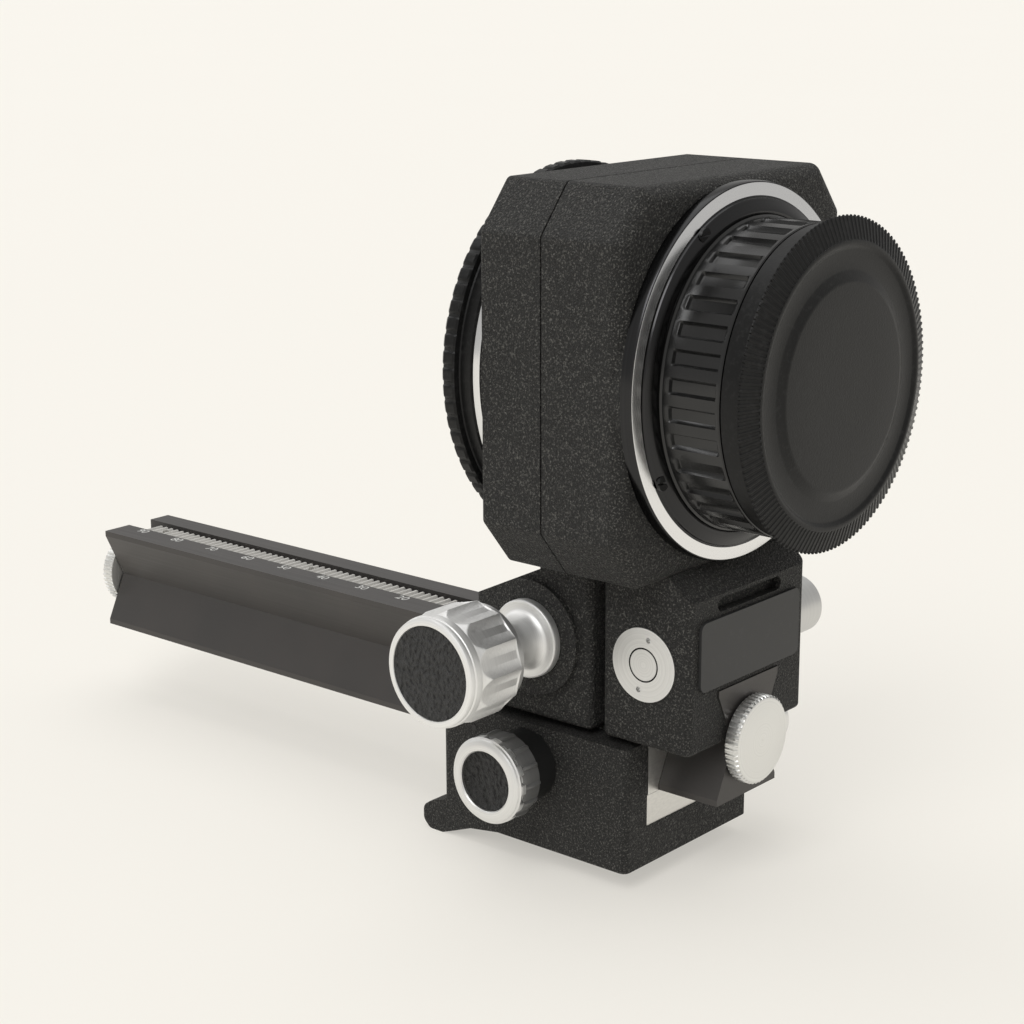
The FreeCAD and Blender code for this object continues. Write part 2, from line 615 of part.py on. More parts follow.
def make_lock_knob(y, z, bore_r):
    left = (BLOCK_HALF if z > BASE_TOP else BASE_W / 2) + BODY_GAP
    outline = [(bore_r, left), (LOCK_KNOB_R - 0.3, left), (LOCK_KNOB_R, left + 0.3),
               (LOCK_KNOB_R, LOCK_KNOB_END - 0.5), (LOCK_KNOB_R - 0.5, LOCK_KNOB_END), (0, LOCK_KNOB_END),
               (0, LOCK_KNOB_END - 1.9), (bore_r, LOCK_KNOB_END - 1.9)]
    return turned_x(outline, y, z)


def make_rear_clamp_pad():
    top = DRIVE_Z - PRESSER_R - 0.1
    return rod_z(PAD_PIN_R, RAIL_TOP + SLIDE_GAP, top, PAD_PIN_X, REAR_LOCK_Y)


# Focus drive: pinion on a cross shaft, turned by the large fluted knob
def make_pinion():
    gear = prism_x(pinion_outline(), PINION_LEFT, PINION_LEFT + PINION_W)
    return gear.cut(rod_x(SHAFT_R + SEAT_GAP, PINION_LEFT - 1, PINION_LEFT + PINION_W + 1, DRIVE_Y, DRIVE_Z))


def make_pinion_shaft():
    return rod_x(SHAFT_R, KNOB_FACE + 2.6, BLOCK_HALF - 0.5, DRIVE_Y, DRIVE_Z)


def make_pinion_bush():
    rim = -BLOCK_HALF - DRIVE_BOSS_H - SEAT_GAP
    bore = SHAFT_R + RUN_GAP
    flare = [(BUSH_NECK_R + (BUSH_RIM_R - BUSH_NECK_R) * (1 - math.cos(a)), rim - BUSH_RIM_T - 5.0 * (
        1 - math.sin(a))) for a in [i * math.pi / 12 for i in range(7)]]
    knob_back = KNOB_FACE + KNOB_LEN + KNOB_RIM_LEN
    outline = [(bore, knob_back + BODY_GAP), (BUSH_NECK_R, knob_back + BODY_GAP)] + flare
    outline += [(BUSH_RIM_R, rim), (BUSH_SLEEVE_R, rim)]
    outline += [(BUSH_SLEEVE_R, BUSH_TIP - 0.2), (bore, BUSH_TIP - 0.2)]
    return turned_x(outline, DRIVE_Y, DRIVE_Z)


RING_T = 2.4
FLUTE_R = 3.2
FLUTE_DEPTH = 0.45
INSERT_T = 0.8


def make_focus_knob():
    front = KNOB_FACE + RING_T
    back = KNOB_FACE + KNOB_LEN
    rim_back = back + KNOB_RIM_LEN
    bore = SHAFT_R + SEAT_GAP
    outline = [(bore, front), (KNOB_R, front), (KNOB_R, back - 0.3), (KNOB_R - 0.3, back),
               (KNOB_R - 0.9, back), (KNOB_R - 0.9, rim_back - 0.3), (KNOB_R - 1.2, rim_back),
               (bore, rim_back)]
    body = turned_x(outline, DRIVE_Y, DRIVE_Z)
    reach = KNOB_R + FLUTE_R - FLUTE_DEPTH
    flutes = []
    for i in range(KNOB_FLUTES):
        a = 2 * math.pi * i / KNOB_FLUTES
        flutes.append(rod_x(FLUTE_R, front - 1, back + 0.1, DRIVE_Y + reach * math.cos(a),
                            DRIVE_Z + reach * math.sin(a)))
    return body.cut(flutes)


def face_ring(face_x, length, outer_r, insert_r, recess, y, z):
    """The bright ring on a knob's face, open at the front for its leatherette disc."""
    pocket = face_x + recess + INSERT_T + SEAT_GAP
    back = face_x + length - SEAT_GAP
    outline = [(0, pocket), (insert_r + SEAT_GAP, pocket), (insert_r + SEAT_GAP, face_x + 0.2),
               (insert_r + 0.2, face_x), (outer_r - 0.3, face_x), (outer_r, face_x + 0.3), (outer_r, back),
               (0, back)]
    return turned_x(outline, y, z)


def make_focus_ring():
    ring = face_ring(KNOB_FACE, RING_T, KNOB_R, INSERT_R, 0.1, DRIVE_Y, DRIVE_Z)
    return ring


def make_focus_insert():
    return rod_x(INSERT_R, KNOB_FACE + 0.1, KNOB_FACE + 0.1 + INSERT_T, DRIVE_Y, DRIVE_Z)


# Rail clamp: small fluted knob with a castellated ring on a screw against the moving jaw
CLAMP_RING_T = 2.0
CLAMP_RECESS = 0.7
TOOTH_LEN = 0.9


def make_clamp_knob():
    front = CLAMP_FACE + CLAMP_RING_T
    back = CLAMP_FACE + CLAMP_KNOB_LEN
    bore = SCREW_R + SEAT_GAP
    outline = [(bore, front), (CLAMP_KNOB_R - 0.5, front), (CLAMP_KNOB_R + 0.1, back - 0.8),
               (CLAMP_KNOB_R - 0.5, back), (bore, back)]
    body = turned_x(outline, CLAMP_Y, CLAMP_Z)
    grooves = []
    for i in range(CLAMP_TEETH):
        a = 2 * math.pi * (i + 0.5) / CLAMP_TEETH
        grooves.append(rod_x(0.7, front - 1, back + 1, CLAMP_Y + (CLAMP_KNOB_R + 0.35) * math.cos(a),
                             CLAMP_Z + (CLAMP_KNOB_R + 0.35) * math.sin(a)))
    return body.cut(grooves)


def make_clamp_ring():
    smooth = CLAMP_RING_T - TOOTH_LEN
    ring = face_ring(CLAMP_FACE, CLAMP_RING_T, CLAMP_KNOB_R, CLAMP_INSERT_R, CLAMP_RECESS, CLAMP_Y, CLAMP_Z)
    notches = []
    for i in range(CLAMP_TEETH):
        notch = box(CLAMP_FACE + smooth, CLAMP_FACE + CLAMP_RING_T + 1, CLAMP_Y - 0.9, CLAMP_Y + 0.9,
                    CLAMP_Z + CLAMP_KNOB_R - 0.6, CLAMP_Z + CLAMP_KNOB_R + 1)
        notch.rotate(V(0, CLAMP_Y, CLAMP_Z), V(1, 0, 0), 360 * (i + 0.5) / CLAMP_TEETH)
        notches.append(notch)
    return ring.cut(notches)


def make_clamp_insert():
    face = CLAMP_FACE + CLAMP_RECESS
    return rod_x(CLAMP_INSERT_R, face, face + INSERT_T, CLAMP_Y, CLAMP_Z)


def make_clamp_screw():
    tip = -BED_HALF + SEAT_GAP + JAW_TRAVEL - JAW_RELEASE - RUN_GAP
    return rod_x(SCREW_R, CLAMP_FACE + CLAMP_RING_T + 0.2, tip, CLAMP_Y, CLAMP_Z)


def make_clamp_collar():
    left = CLAMP_FACE + CLAMP_KNOB_LEN + BODY_GAP
    right = -BASE_W / 2 - SEAT_GAP
    outline = [(SCREW_R + RUN_GAP, left), (CLAMP_COLLAR_R - 0.4, left), (CLAMP_COLLAR_R, left + 0.4),
               (CLAMP_COLLAR_R, right), (SCREW_R + RUN_GAP, right)]
    return turned_x(outline, CLAMP_Y, CLAMP_Z)


def make_base_lock_screw():
    tip = RAIL_W / 2 + SLIDE_GAP + RUN_GAP
    return rod_x(SCREW_R, tip, LOCK_KNOB_END - 2.0, LOCK_Y, CLAMP_Z)


# Stop screws: coarse knurled discs at the rail's ends
def make_stop(end_y, out):
    near = end_y + out * STOP_GAP
    far = near + out * STOP_T
    edge = 0.35
    outline = [(0, near), (STOP_R - edge, near), (STOP_R, near + out * edge), (STOP_R, far - out * edge),
               (STOP_R - edge, far), (0, far)]
    disc = turned_y(outline, 0.0, WAIST_Z)
    tip = end_y - out * (STOP_SCREW_DEPTH - 1.0)
    return disc.fuse(rod_y(SCREW_R, min(near, tip), max(near, tip), 0, WAIST_Z))


# Camera mount: polished ring, rotating ribbed barrel, screw thread and cap


def make_rear_mount_ring():
    seat = REAR_FACE - 2 * SEAT_GAP
    face = REAR_FACE - RING_OUT
    cone_top = face - CONE_RISE - 0.2
    outline = [(RING_R, seat), (RING_R, face + 0.5), (RING_R - 0.35, face), (CONE_R, face - 0.2),
               (CONE_R - 0.1, face - 0.35), (NECK_R + 0.5, cone_top), (NECK_R + 0.1, cone_top),
               (NECK_R + 0.1, seat - 1.0),
               (REAR_HOLE_R + 1.0, seat - 1.0), (REAR_HOLE_R + 1.0, seat)]
    ring = turned_y(outline)
    for x, z, _ in around_axis(MOUNT_SCREW_PCR, MOUNT_SCREWS):
        ring = ring.cut(rod_y(MOUNT_SHANK_R + SEAT_GAP, face - 3, REAR_FACE + 1, x, z))
        ring = ring.cut(rod_y(MOUNT_HEAD_R + SEAT_GAP, face - 3, face - 0.5, x, z))
    return ring


def make_rear_mount_screws():
    seat = REAR_FACE - RING_OUT - 0.5
    shank = MOUNT_SHANK_LEN + RING_OUT + 0.2
    return [screw_y(x, z, seat, -1, MOUNT_HEAD_R, MOUNT_HEAD_T, MOUNT_SHANK_R, shank)
            for x, z, _ in around_axis(MOUNT_SCREW_PCR, MOUNT_SCREWS)]


GRIP_BACK = REAR_FACE - 3.5
GRIP_FRONT = GRIP_BACK - GRIP_LEN
RIB_FROM = GRIP_BACK - 1.5
RIB_TO = GRIP_FRONT + 0.5


def make_camera_ring():
    neck = REAR_FACE - 1.3
    inner = REAR_FACE + FACE_PLATE + 0.1
    outline = [(SLEEVE_IN, inner), (SLEEVE_R, inner), (SLEEVE_R, neck), (NECK_R, neck), (NECK_R, GRIP_BACK),
               (GRIP_R, GRIP_BACK), (GRIP_R, GRIP_FRONT + 0.15), (GRIP_R - 0.15, GRIP_FRONT),
               (SPIGOT_R + SEAT_GAP, GRIP_FRONT), (SPIGOT_R + SEAT_GAP, GRIP_FRONT + SPIGOT_LEN),
               (SLEEVE_IN, GRIP_FRONT + SPIGOT_LEN)]
    ring = turned_y(outline)
    for x, z, _ in around_axis(RETAINER_PCR, RETAINER_SCREWS):
        ring = ring.cut(rod_y(SMALL_SHANK_R + SEAT_GAP, inner - 2.2, inner + 1, x, z))
    half_w = GRIP_R * math.pi / GRIP_RIBS / 2
    pockets = []
    for i in range(GRIP_RIBS):
        pocket = box(-half_w, half_w, RIB_TO, RIB_FROM, AXIS_Z + GRIP_R - RIB_DEPTH, AXIS_Z + GRIP_R + 1)
        pocket.rotate(V(0, 0, AXIS_Z), V(0, 1, 0), 360.0 * i / GRIP_RIBS)
        pockets.append(pocket)
    return ring.cut(pockets)



def thread_outline(root_r, crest_r, start_y, step):
    """Zigzag of crests and roots, THREAD_TURNS of them, from start_y in steps of the pitch."""
    points = [(root_r, start_y)]
    for i in range(THREAD_TURNS):
        points.append((crest_r, start_y + step * (i + 0.5) * THREAD_PITCH))
        points.append((root_r, start_y + step * (i + 1) * THREAD_PITCH))
    return points


def make_camera_thread():
    start = GRIP_FRONT - SEAT_GAP
    outline = thread_outline(THREAD_R - THREAD_DEPTH, THREAD_R, start, -1)
    end_y = outline[-1][1]
    outline += [(SLEEVE_IN, end_y), (SLEEVE_IN, start + SPIGOT_LEN),
                (SPIGOT_R, start + SPIGOT_LEN), (SPIGOT_R, start)]
    return turned_y(outline)


def make_ring_retainer():
    near = REAR_FACE + FACE_PLATE + BED_GAP
    far = near + RETAINER_T
    ring = turned_y([(SLEEVE_IN, near), (RETAINER_R, near), (RETAINER_R, far), (SLEEVE_IN, far)])
    for x, z, _ in around_axis(RETAINER_PCR, RETAINER_SCREWS):
        ring = ring.cut(rod_y(SMALL_SHANK_R + SEAT_GAP, near - 1, near + 2, x, z))
        ring = ring.cut(rod_y(SMALL_HEAD_R + SEAT_GAP, far - SMALL_HEAD_T - RUN_GAP, near + 2, x, z))
    return ring



def make_retainer_screws():
    seat = REAR_FACE + FACE_PLATE + BED_GAP + RETAINER_T - SMALL_HEAD_T - RUN_GAP
    return [screw_y(x, z, seat, 1, SMALL_HEAD_R, SMALL_HEAD_T, SMALL_SHANK_R, SMALL_SHANK_LEN)
            for x, z, _ in around_axis(RETAINER_PCR, RETAINER_SCREWS)]


REAR_CAP_BACK = GRIP_FRONT - 0.15


def make_rear_cap():
    head = REAR_CAP_BACK - SKIRT_LEN
    face = head - CAP_HEAD
    bore = THREAD_R + BODY_GAP
    rim = REAR_CAP_R - CAP_CONE
    dish = rim - CAP_FACE_RIM
    hollow = face + CAP_DISH_DEPTH
    middle = dish - CAP_DISH
    web = REAR_CAP_BACK - THREAD_TURNS * THREAD_PITCH - 0.4
    outline = [(bore, REAR_CAP_BACK), (GRIP_R - 0.1, REAR_CAP_BACK), (GRIP_R - 0.1, head),
               (REAR_CAP_R, head), (REAR_CAP_R, head - 0.25), (rim, face + 0.15),
               (rim - 0.3, face), (dish + 0.4, face),
               (dish, hollow), (middle + CAP_SLOPE, hollow), (middle, face - 0.25), (0, face - 0.25),
               (0, web), (bore, web)]
    return turned_y(outline)


# Lens mount: polished ring, threaded ring and cap
def make_front_mount_ring():
    seat = FRONT_FACE + 2 * SEAT_GAP
    face = FRONT_FACE + FRONT_RING_OUT
    outline = [(FRONT_HOLE_R + SEAT_GAP, seat), (RING_R, seat), (RING_R, face - 0.5), (RING_R - 0.35, face),
               (FRONT_HOLE_R + SEAT_GAP, face)]
    ring = turned_y(outline)
    for x, z, _ in around_axis(MOUNT_SCREW_PCR, MOUNT_SCREWS):
        ring = ring.cut(rod_y(MOUNT_SHANK_R + SEAT_GAP, FRONT_FACE - 1, face + 1, x, z))
        ring = ring.cut(rod_y(MOUNT_HEAD_R + SEAT_GAP, face - MOUNT_HEAD_T - 0.1, face + 1, x, z))
    return ring


def make_front_mount_screws():
    seat = FRONT_FACE + FRONT_RING_OUT - MOUNT_HEAD_T - 0.1
    shank = MOUNT_SHANK_LEN * 0.8 + FRONT_RING_OUT * 0.55
    return [screw_y(x, z, seat, 1, MOUNT_HEAD_R, MOUNT_HEAD_T, MOUNT_SHANK_R, shank)
            for x, z, _ in around_axis(MOUNT_SCREW_PCR, MOUNT_SCREWS)]


def make_lens_thread():
    far = FRONT_FACE + FRONT_RING_OUT - RUN_GAP
    near = far - THREAD_TURNS * THREAD_PITCH
    outline = thread_outline(LENS_THREAD_R, LENS_THREAD_R + THREAD_DEPTH, near, 1)
    outline += [(FRONT_HOLE_R - SEAT_GAP, far), (FRONT_HOLE_R - SEAT_GAP, near)]
    return turned_y(outline)


FRONT_CAP_BACK = FRONT_FACE + FRONT_RING_OUT + BODY_GAP


def make_front_cap():
    rim = FRONT_CAP_BACK + FRONT_SKIRT
    face = rim + FRONT_RIM
    dish = FRONT_CAP_R - 2 * STUB_WALL + 1.4
    middle = dish - FRONT_DISH
    stub_end = FRONT_CAP_BACK - STUB_LEN
    outline = [(STUB_IN, stub_end), (STUB_R, stub_end), (STUB_R, FRONT_CAP_BACK),
               (RING_R - 0.4, FRONT_CAP_BACK), (RING_R - 0.4, rim), (FRONT_CAP_R, rim),
               (FRONT_CAP_R, face - 0.6), (FRONT_CAP_R - 0.6, face),
               (dish, face), (dish - 0.5, face - 0.4), (middle + 0.8, face - 0.7),
               (middle, face - 1.1), (0, face - 1.1), (0, face - 2.3), (STUB_IN, face - 2.3)]
    cap = turned_y(outline)
    notches = []
    for i in range(FRONT_CAP_NOTCHES):
        notch = box(-0.7, 0.7, rim - 1, face + 1, AXIS_Z + FRONT_CAP_R - 0.45, AXIS_Z + FRONT_CAP_R + 1)
        notch.rotate(V(0, 0, AXIS_Z), V(0, 1, 0), 360.0 * (i + 0.5) / FRONT_CAP_NOTCHES)
        notches.append(notch)
    return cap.cut(notches)


# Bellows and the frames that hold its ends
FRAME_OUT = WALL + 0.1
REAR_FRAME_FAR = REAR_STEP + FRAME_T
FRONT_FRAME_NEAR = FRONT_STEP - FRAME_T


def bellows_frame(y0):
    plate = prism_y(octagon(FRAME_OUT), y0, y0 + FRAME_T)
    window = box(-BELLOWS_IN + 0.8, BELLOWS_IN - 0.8, y0 - 1, y0 + FRAME_T + 1,
                 AXIS_Z - BELLOWS_IN + 0.8, AXIS_Z + BELLOWS_IN - 0.8)
    plate = plate.cut(window)
    for x, z in frame_screw_places():
        plate = plate.cut(rod_y(SMALL_SHANK_R + SEAT_GAP, y0 - 1, y0 + FRAME_T + 1, x, z))
    return plate


def frame_screw_places():
    return [(x, AXIS_Z + z) for x in (-FRAME_SCREW_X, FRAME_SCREW_X)
            for z in (-FRAME_SCREW_Z, FRAME_SCREW_Z)]


def frame_screw_holes(seat_y, into):
    """Tapped holes in a standard, from its step at seat_y in direction into."""
    end = seat_y + into * SMALL_SHANK_LEN
    return [rod_y(SMALL_SHANK_R + SEAT_GAP, min(seat_y, end), max(seat_y, end), x, z)
            for x, z in frame_screw_places()]


def frame_screws(seat_y, out):
    return [screw_y(x, z, seat_y, out, SMALL_HEAD_R, SMALL_HEAD_T, SMALL_SHANK_R, SMALL_SHANK_LEN)
            for x, z in frame_screw_places()]


def make_bellows():
    """A pleated square tube, from one frame to the other, as one closed skin."""
    start = REAR_FRAME_FAR + SEAT_GAP
    length = FRONT_FRAME_NEAR - SEAT_GAP - start
    step = length / (2 * FOLDS)
    outer = [(BELLOWS_IN if i % 2 == 0 else BELLOWS_OUT, start + i * step) for i in range(2 * FOLDS + 1)]

    def corners(half, y):
        return [V(x, y, AXIS_Z + z) for x, z in ((half, half), (-half, half), (-half, -half), (half, -half))]

    faces = []
    for inset in (0.0, CLOTH_T):
        rings = [corners(half - inset, y) for half, y in outer]
        for low, high in zip(rings, rings[1:]):
            for k in range(4):
                quad = [low[k], low[(k + 1) % 4], high[(k + 1) % 4], high[k], low[k]]
                faces.append(Part.Face(Part.makePolygon(quad)))
    for half, y in (outer[0], outer[-1]):
        big, small = corners(half, y), corners(half - CLOTH_T, y)
        for k in range(4):
            quad = [big[k], big[(k + 1) % 4], small[(k + 1) % 4], small[k], big[k]]
            faces.append(Part.Face(Part.makePolygon(quad)))
    shape = Part.Solid(Part.makeShell(faces))
    shape.fix(1e-4, 1e-4, 1e-4)
    return shape


def save(name, shape):
    solids = shape if isinstance(shape, list) else [shape]
    solids = [s for piece in solids for s in piece.Solids]
    out = solids[0] if len(solids) == 1 else Part.makeCompound(solids)
    out.exportStep(os.path.join("parts", name + ".step"))


os.makedirs("parts", exist_ok=True)

save("base_block", make_base_block())
save("tripod_bush", make_tripod_bush())
save("jaw_bed", make_jaw_bed())
save("bed_screws", make_bed_screws())
save("base_pins", make_base_pins())
save("clamp_collar", make_clamp_collar())
save("clamp_jaw", make_jaw())
save("clamp_knob", make_clamp_knob())
save("clamp_knob_ring", make_clamp_ring())
save("clamp_knob_insert", make_clamp_insert())
save("clamp_screw", make_clamp_screw())
save("base_lock_knob", make_lock_knob(LOCK_Y, CLAMP_Z, SCREW_R + SEAT_GAP))
save("base_lock_screw", make_base_lock_screw())

save("rail", make_rail())
save("rack", make_rack())
save("rack_screws", make_rack_screws())
save("near_stop_screw", make_stop(RAIL_NEAR, -1))
save("far_stop_screw", make_stop(RAIL_FAR, 1))

save("rear_standard", make_rear_standard())
save("rear_plate", make_name_plate())
save("rear_shaft_cap", make_rear_shaft_cap())
save("rear_clamp_pad", make_rear_clamp_pad())
save("rear_lock_shaft", make_rear_lock_shaft())
save("rear_lock_knob", make_lock_knob(REAR_LOCK_Y, DRIVE_Z, SHAFT_R + SEAT_GAP))
save("rear_mount_ring", make_rear_mount_ring())
save("rear_mount_screws", make_rear_mount_screws())
save("camera_ring", make_camera_ring())
save("camera_thread", make_camera_thread())
save("ring_retainer", make_ring_retainer())
save("rear_cap", make_rear_cap())
save("retainer_screws", make_retainer_screws())
save("rear_bellows_frame", bellows_frame(REAR_STEP))
save("rear_frame_screws", frame_screws(REAR_FRAME_FAR, 1))
save("bellows", make_bellows())
save("front_bellows_frame", bellows_frame(FRONT_FRAME_NEAR))
save("front_frame_screws", frame_screws(FRONT_FRAME_NEAR, -1))

save("front_standard", make_front_standard())
save("front_shaft_cap", make_front_shaft_cap())
save("front_mount_ring", make_front_mount_ring())
save("front_mount_screws", make_front_mount_screws())
save("lens_thread", make_lens_thread())
save("front_cap", make_front_cap())
save("pinion_bush", make_pinion_bush())
save("pinion_shaft", make_pinion_shaft())
save("pinion", make_pinion())
save("focus_knob", make_focus_knob())
save("focus_knob_ring", make_focus_ring())
save("focus_knob_insert", make_focus_insert())
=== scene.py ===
import math

import bmesh
import bpy
from mathutils import Euler, Matrix, Vector


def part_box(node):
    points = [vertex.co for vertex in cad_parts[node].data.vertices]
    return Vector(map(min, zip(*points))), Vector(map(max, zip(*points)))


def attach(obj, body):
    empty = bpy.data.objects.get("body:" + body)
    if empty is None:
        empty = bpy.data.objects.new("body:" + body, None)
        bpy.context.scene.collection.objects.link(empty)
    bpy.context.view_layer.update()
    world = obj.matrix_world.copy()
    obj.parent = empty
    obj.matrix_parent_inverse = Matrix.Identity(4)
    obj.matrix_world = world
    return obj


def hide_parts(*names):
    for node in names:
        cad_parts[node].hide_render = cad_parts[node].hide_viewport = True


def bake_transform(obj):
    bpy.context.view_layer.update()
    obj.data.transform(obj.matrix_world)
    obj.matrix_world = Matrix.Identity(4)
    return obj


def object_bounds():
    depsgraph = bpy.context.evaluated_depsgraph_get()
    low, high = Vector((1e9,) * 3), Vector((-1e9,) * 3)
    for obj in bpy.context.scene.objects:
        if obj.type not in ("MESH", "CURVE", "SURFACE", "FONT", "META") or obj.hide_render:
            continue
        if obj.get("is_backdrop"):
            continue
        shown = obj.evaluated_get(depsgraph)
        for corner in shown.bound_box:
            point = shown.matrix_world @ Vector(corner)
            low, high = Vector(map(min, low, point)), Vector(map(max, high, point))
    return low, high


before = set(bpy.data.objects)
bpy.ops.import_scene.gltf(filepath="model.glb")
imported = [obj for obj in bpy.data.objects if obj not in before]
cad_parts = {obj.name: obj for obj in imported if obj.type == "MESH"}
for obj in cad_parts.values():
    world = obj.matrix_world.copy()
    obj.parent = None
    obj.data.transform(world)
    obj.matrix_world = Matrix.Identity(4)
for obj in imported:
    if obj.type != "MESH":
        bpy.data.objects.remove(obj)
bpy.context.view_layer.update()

# Camera
# It stands where the photographer's stood: to the left of the camera end and a little above.
camera_data = bpy.data.cameras.new("camera")
camera_data.lens = 75.47
camera_data.sensor_width = 36.0
camera = bpy.data.objects.new("camera", camera_data)
stand = Matrix.Translation((-0.2648, -0.2068, 0.1442))
downward, heading, roll = math.radians(14.69), math.radians(-49.36), math.radians(-0.23)
turn = Euler((math.pi / 2 - downward, 0, heading)).to_matrix().to_4x4()
camera.matrix_world = stand @ turn @ Matrix.Rotation(roll, 4, "Z")
bpy.context.scene.collection.objects.link(camera)
bpy.context.scene.camera = camera
bpy.context.scene.render.resolution_x = 1024
bpy.context.scene.render.resolution_y = 1024

# Studio
# Even light from a pale room, with a broad soft light from the upper left, one overhead and a
# weak one behind. The floor is one pale sheet that fills the view and glows a little itself, so
# the shadows on it stay faint.
world = bpy.data.worlds.new("studio")
bpy.context.scene.world = world
world.use_nodes = True
world.node_tree.nodes["Background"].inputs["Color"].default_value = (1.0, 0.985, 0.96, 1)
world.node_tree.nodes["Background"].inputs["Strength"].default_value = 0.55
bpy.context.scene.view_settings.view_transform = "Standard"
lights = [("key", (-0.75, -0.25, 0.85), 35, 1.25), ("top", (0.15, 0.1, 1.0), 60, 0.9),
          ("back", (-0.1, 0.9, 0.5), 40, 0.35)]
for name, toward, spread, power in lights:
    light_data = bpy.data.lights.new(name, "SUN")
    light_data.angle = math.radians(spread)
    light_data.energy = power
    light = bpy.data.objects.new(name, light_data)
    light.rotation_euler = Vector(toward).to_track_quat("Z", "Y").to_euler()
    bpy.context.scene.collection.objects.link(light)

floor_mesh = bpy.data.meshes.new("floor")
far = 30
corners = [(-far, -far, 0), (far, -far, 0), (far, far, 0), (-far, far, 0)]
floor_mesh.from_pydata(corners, [], [(0, 1, 2, 3)])
floor = bpy.data.objects.new("floor", floor_mesh)
bpy.context.scene.collection.objects.link(floor)
floor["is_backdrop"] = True


def material(name):
    """A new material, with its node tree and its Principled shader."""
    made = bpy.data.materials.new(name)
    made.use_nodes = True
    return made, made.node_tree, made.node_tree.nodes["Principled BSDF"]


def add(tree, kind, **settings):
    """A new node. Settings that name a socket are links or values, the others are properties."""
    made = tree.nodes.new(kind)
    for key, value in settings.items():
        if key in made.inputs:
            if isinstance(value, bpy.types.NodeSocket):
                tree.links.new(value, made.inputs[key])
            else:
                made.inputs[key].default_value = value
        else:
            setattr(made, key, value)
    return made


def math_node(tree, operation, *values):
    """The result of a Math node on links or values."""
    made = tree.nodes.new("ShaderNodeMath")
    made.operation = operation
    for socket, value in zip(made.inputs, values):
        if isinstance(value, bpy.types.NodeSocket):
            tree.links.new(value, socket)
        else:
            socket.default_value = value
    return made.outputs[0]


def paint(node_names, finish):
    """Gives CAD nodes a material."""
    for node_name in node_names:
        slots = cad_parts[node_name].material_slots
        for slot in slots:
            slot.link = "OBJECT"
            slot.material = finish
        if not slots:
            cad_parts[node_name].data.materials.append(finish)


paper, tree, shader = material("paper")
place = add(tree, "ShaderNodeTexCoord")
mottle = add(tree, "ShaderNodeTexNoise", Vector=place.outputs["Object"], Scale=3.0, Detail=3.0)
tone = add(tree, "ShaderNodeMapRange", Value=mottle.outputs["Fac"])
tone.inputs["To Min"].default_value, tone.inputs["To Max"].default_value = 0.985, 1.0
shade = add(tree, "ShaderNodeHueSaturation", Color=(0.40, 0.388, 0.361, 1),
            Value=tone.outputs["Result"])
tree.links.new(shade.outputs["Color"], shader.inputs["Base Color"])
shader.inputs["Roughness"].default_value = 0.95
shader.inputs["Emission Color"].default_value = (0.455, 0.441, 0.410, 1)
shader.inputs["Emission Strength"].default_value = 1.0
floor_mesh.materials.append(paper)

# Shared surface effects
# "grain" is a bumpy skin of small lumps, "speckle" scatters worn flecks, and "turned" draws the
# fine circles that a lathe leaves around an axis and gives the distance from that axis.
grain = bpy.data.node_groups.new("grain", "ShaderNodeTree")
for label, default in (("Size", 0.0005), ("Depth", 0.0001), ("Strength", 0.5)):
    socket = grain.interface.new_socket(label, in_out="INPUT", socket_type="NodeSocketFloat")
    socket.default_value = default
grain.interface.new_socket("Height", in_out="OUTPUT", socket_type="NodeSocketFloat")
grain.interface.new_socket("Normal", in_out="OUTPUT", socket_type="NodeSocketVector")
inside, outside = add(grain, "NodeGroupInput"), add(grain, "NodeGroupOutput")
place = add(grain, "ShaderNodeTexCoord")
scale = math_node(grain, "DIVIDE", 1.0, inside.outputs["Size"])
lumps = add(grain, "ShaderNodeTexNoise", Vector=place.outputs["Object"], Scale=scale, Detail=3.0,
            Roughness=0.6)
cells = add(grain, "ShaderNodeTexVoronoi", Vector=place.outputs["Object"], Scale=scale,
            feature="SMOOTH_F1")
half_cells = math_node(grain, "MULTIPLY", cells.outputs["Distance"], 0.5)
height = math_node(grain, "ADD", lumps.outputs["Fac"], half_cells)
bump = add(grain, "ShaderNodeBump", Height=height, Strength=inside.outputs["Strength"],
           Distance=inside.outputs["Depth"])
grain.links.new(height, outside.inputs["Height"])
grain.links.new(bump.outputs["Normal"], outside.inputs["Normal"])

speckle = bpy.data.node_groups.new("speckle", "ShaderNodeTree")
speckle_inputs = [("Ground", "NodeSocketColor", (0.02, 0.02, 0.02, 1)),
                  ("Fleck", "NodeSocketColor", (0.1, 0.1, 0.1, 1)),
                  ("Size", "NodeSocketFloat", 0.0004), ("Cover", "NodeSocketFloat", 0.1)]
for label, kind, default in speckle_inputs:
    socket = speckle.interface.new_socket(label, in_out="INPUT", socket_type=kind)
    socket.default_value = default
speckle.interface.new_socket("Color", in_out="OUTPUT", socket_type="NodeSocketColor")
speckle.interface.new_socket("Mask", in_out="OUTPUT", socket_type="NodeSocketFloat")
inside, outside = add(speckle, "NodeGroupInput"), add(speckle, "NodeGroupOutput")
place = add(speckle, "ShaderNodeTexCoord")
scale = math_node(speckle, "DIVIDE", 1.0, inside.outputs["Size"])
dots = add(speckle, "ShaderNodeTexNoise", Vector=place.outputs["Object"], Scale=scale, Detail=2.0,
           Roughness=0.7)
low = math_node(speckle, "SUBTRACT", 0.72, inside.outputs["Cover"])
spread = add(speckle, "ShaderNodeMapRange", Value=dots.outputs["Fac"])
speckle.links.new(low, spread.inputs["From Min"])
spread.inputs["From Max"].default_value = 0.74
mixed = add(speckle, "ShaderNodeMix", data_type="RGBA")
speckle.links.new(spread.outputs["Result"], mixed.inputs["Factor"])
speckle.links.new(inside.outputs["Ground"], mixed.inputs[6])
speckle.links.new(inside.outputs["Fleck"], mixed.inputs[7])
speckle.links.new(mixed.outputs[2], outside.inputs["Color"])
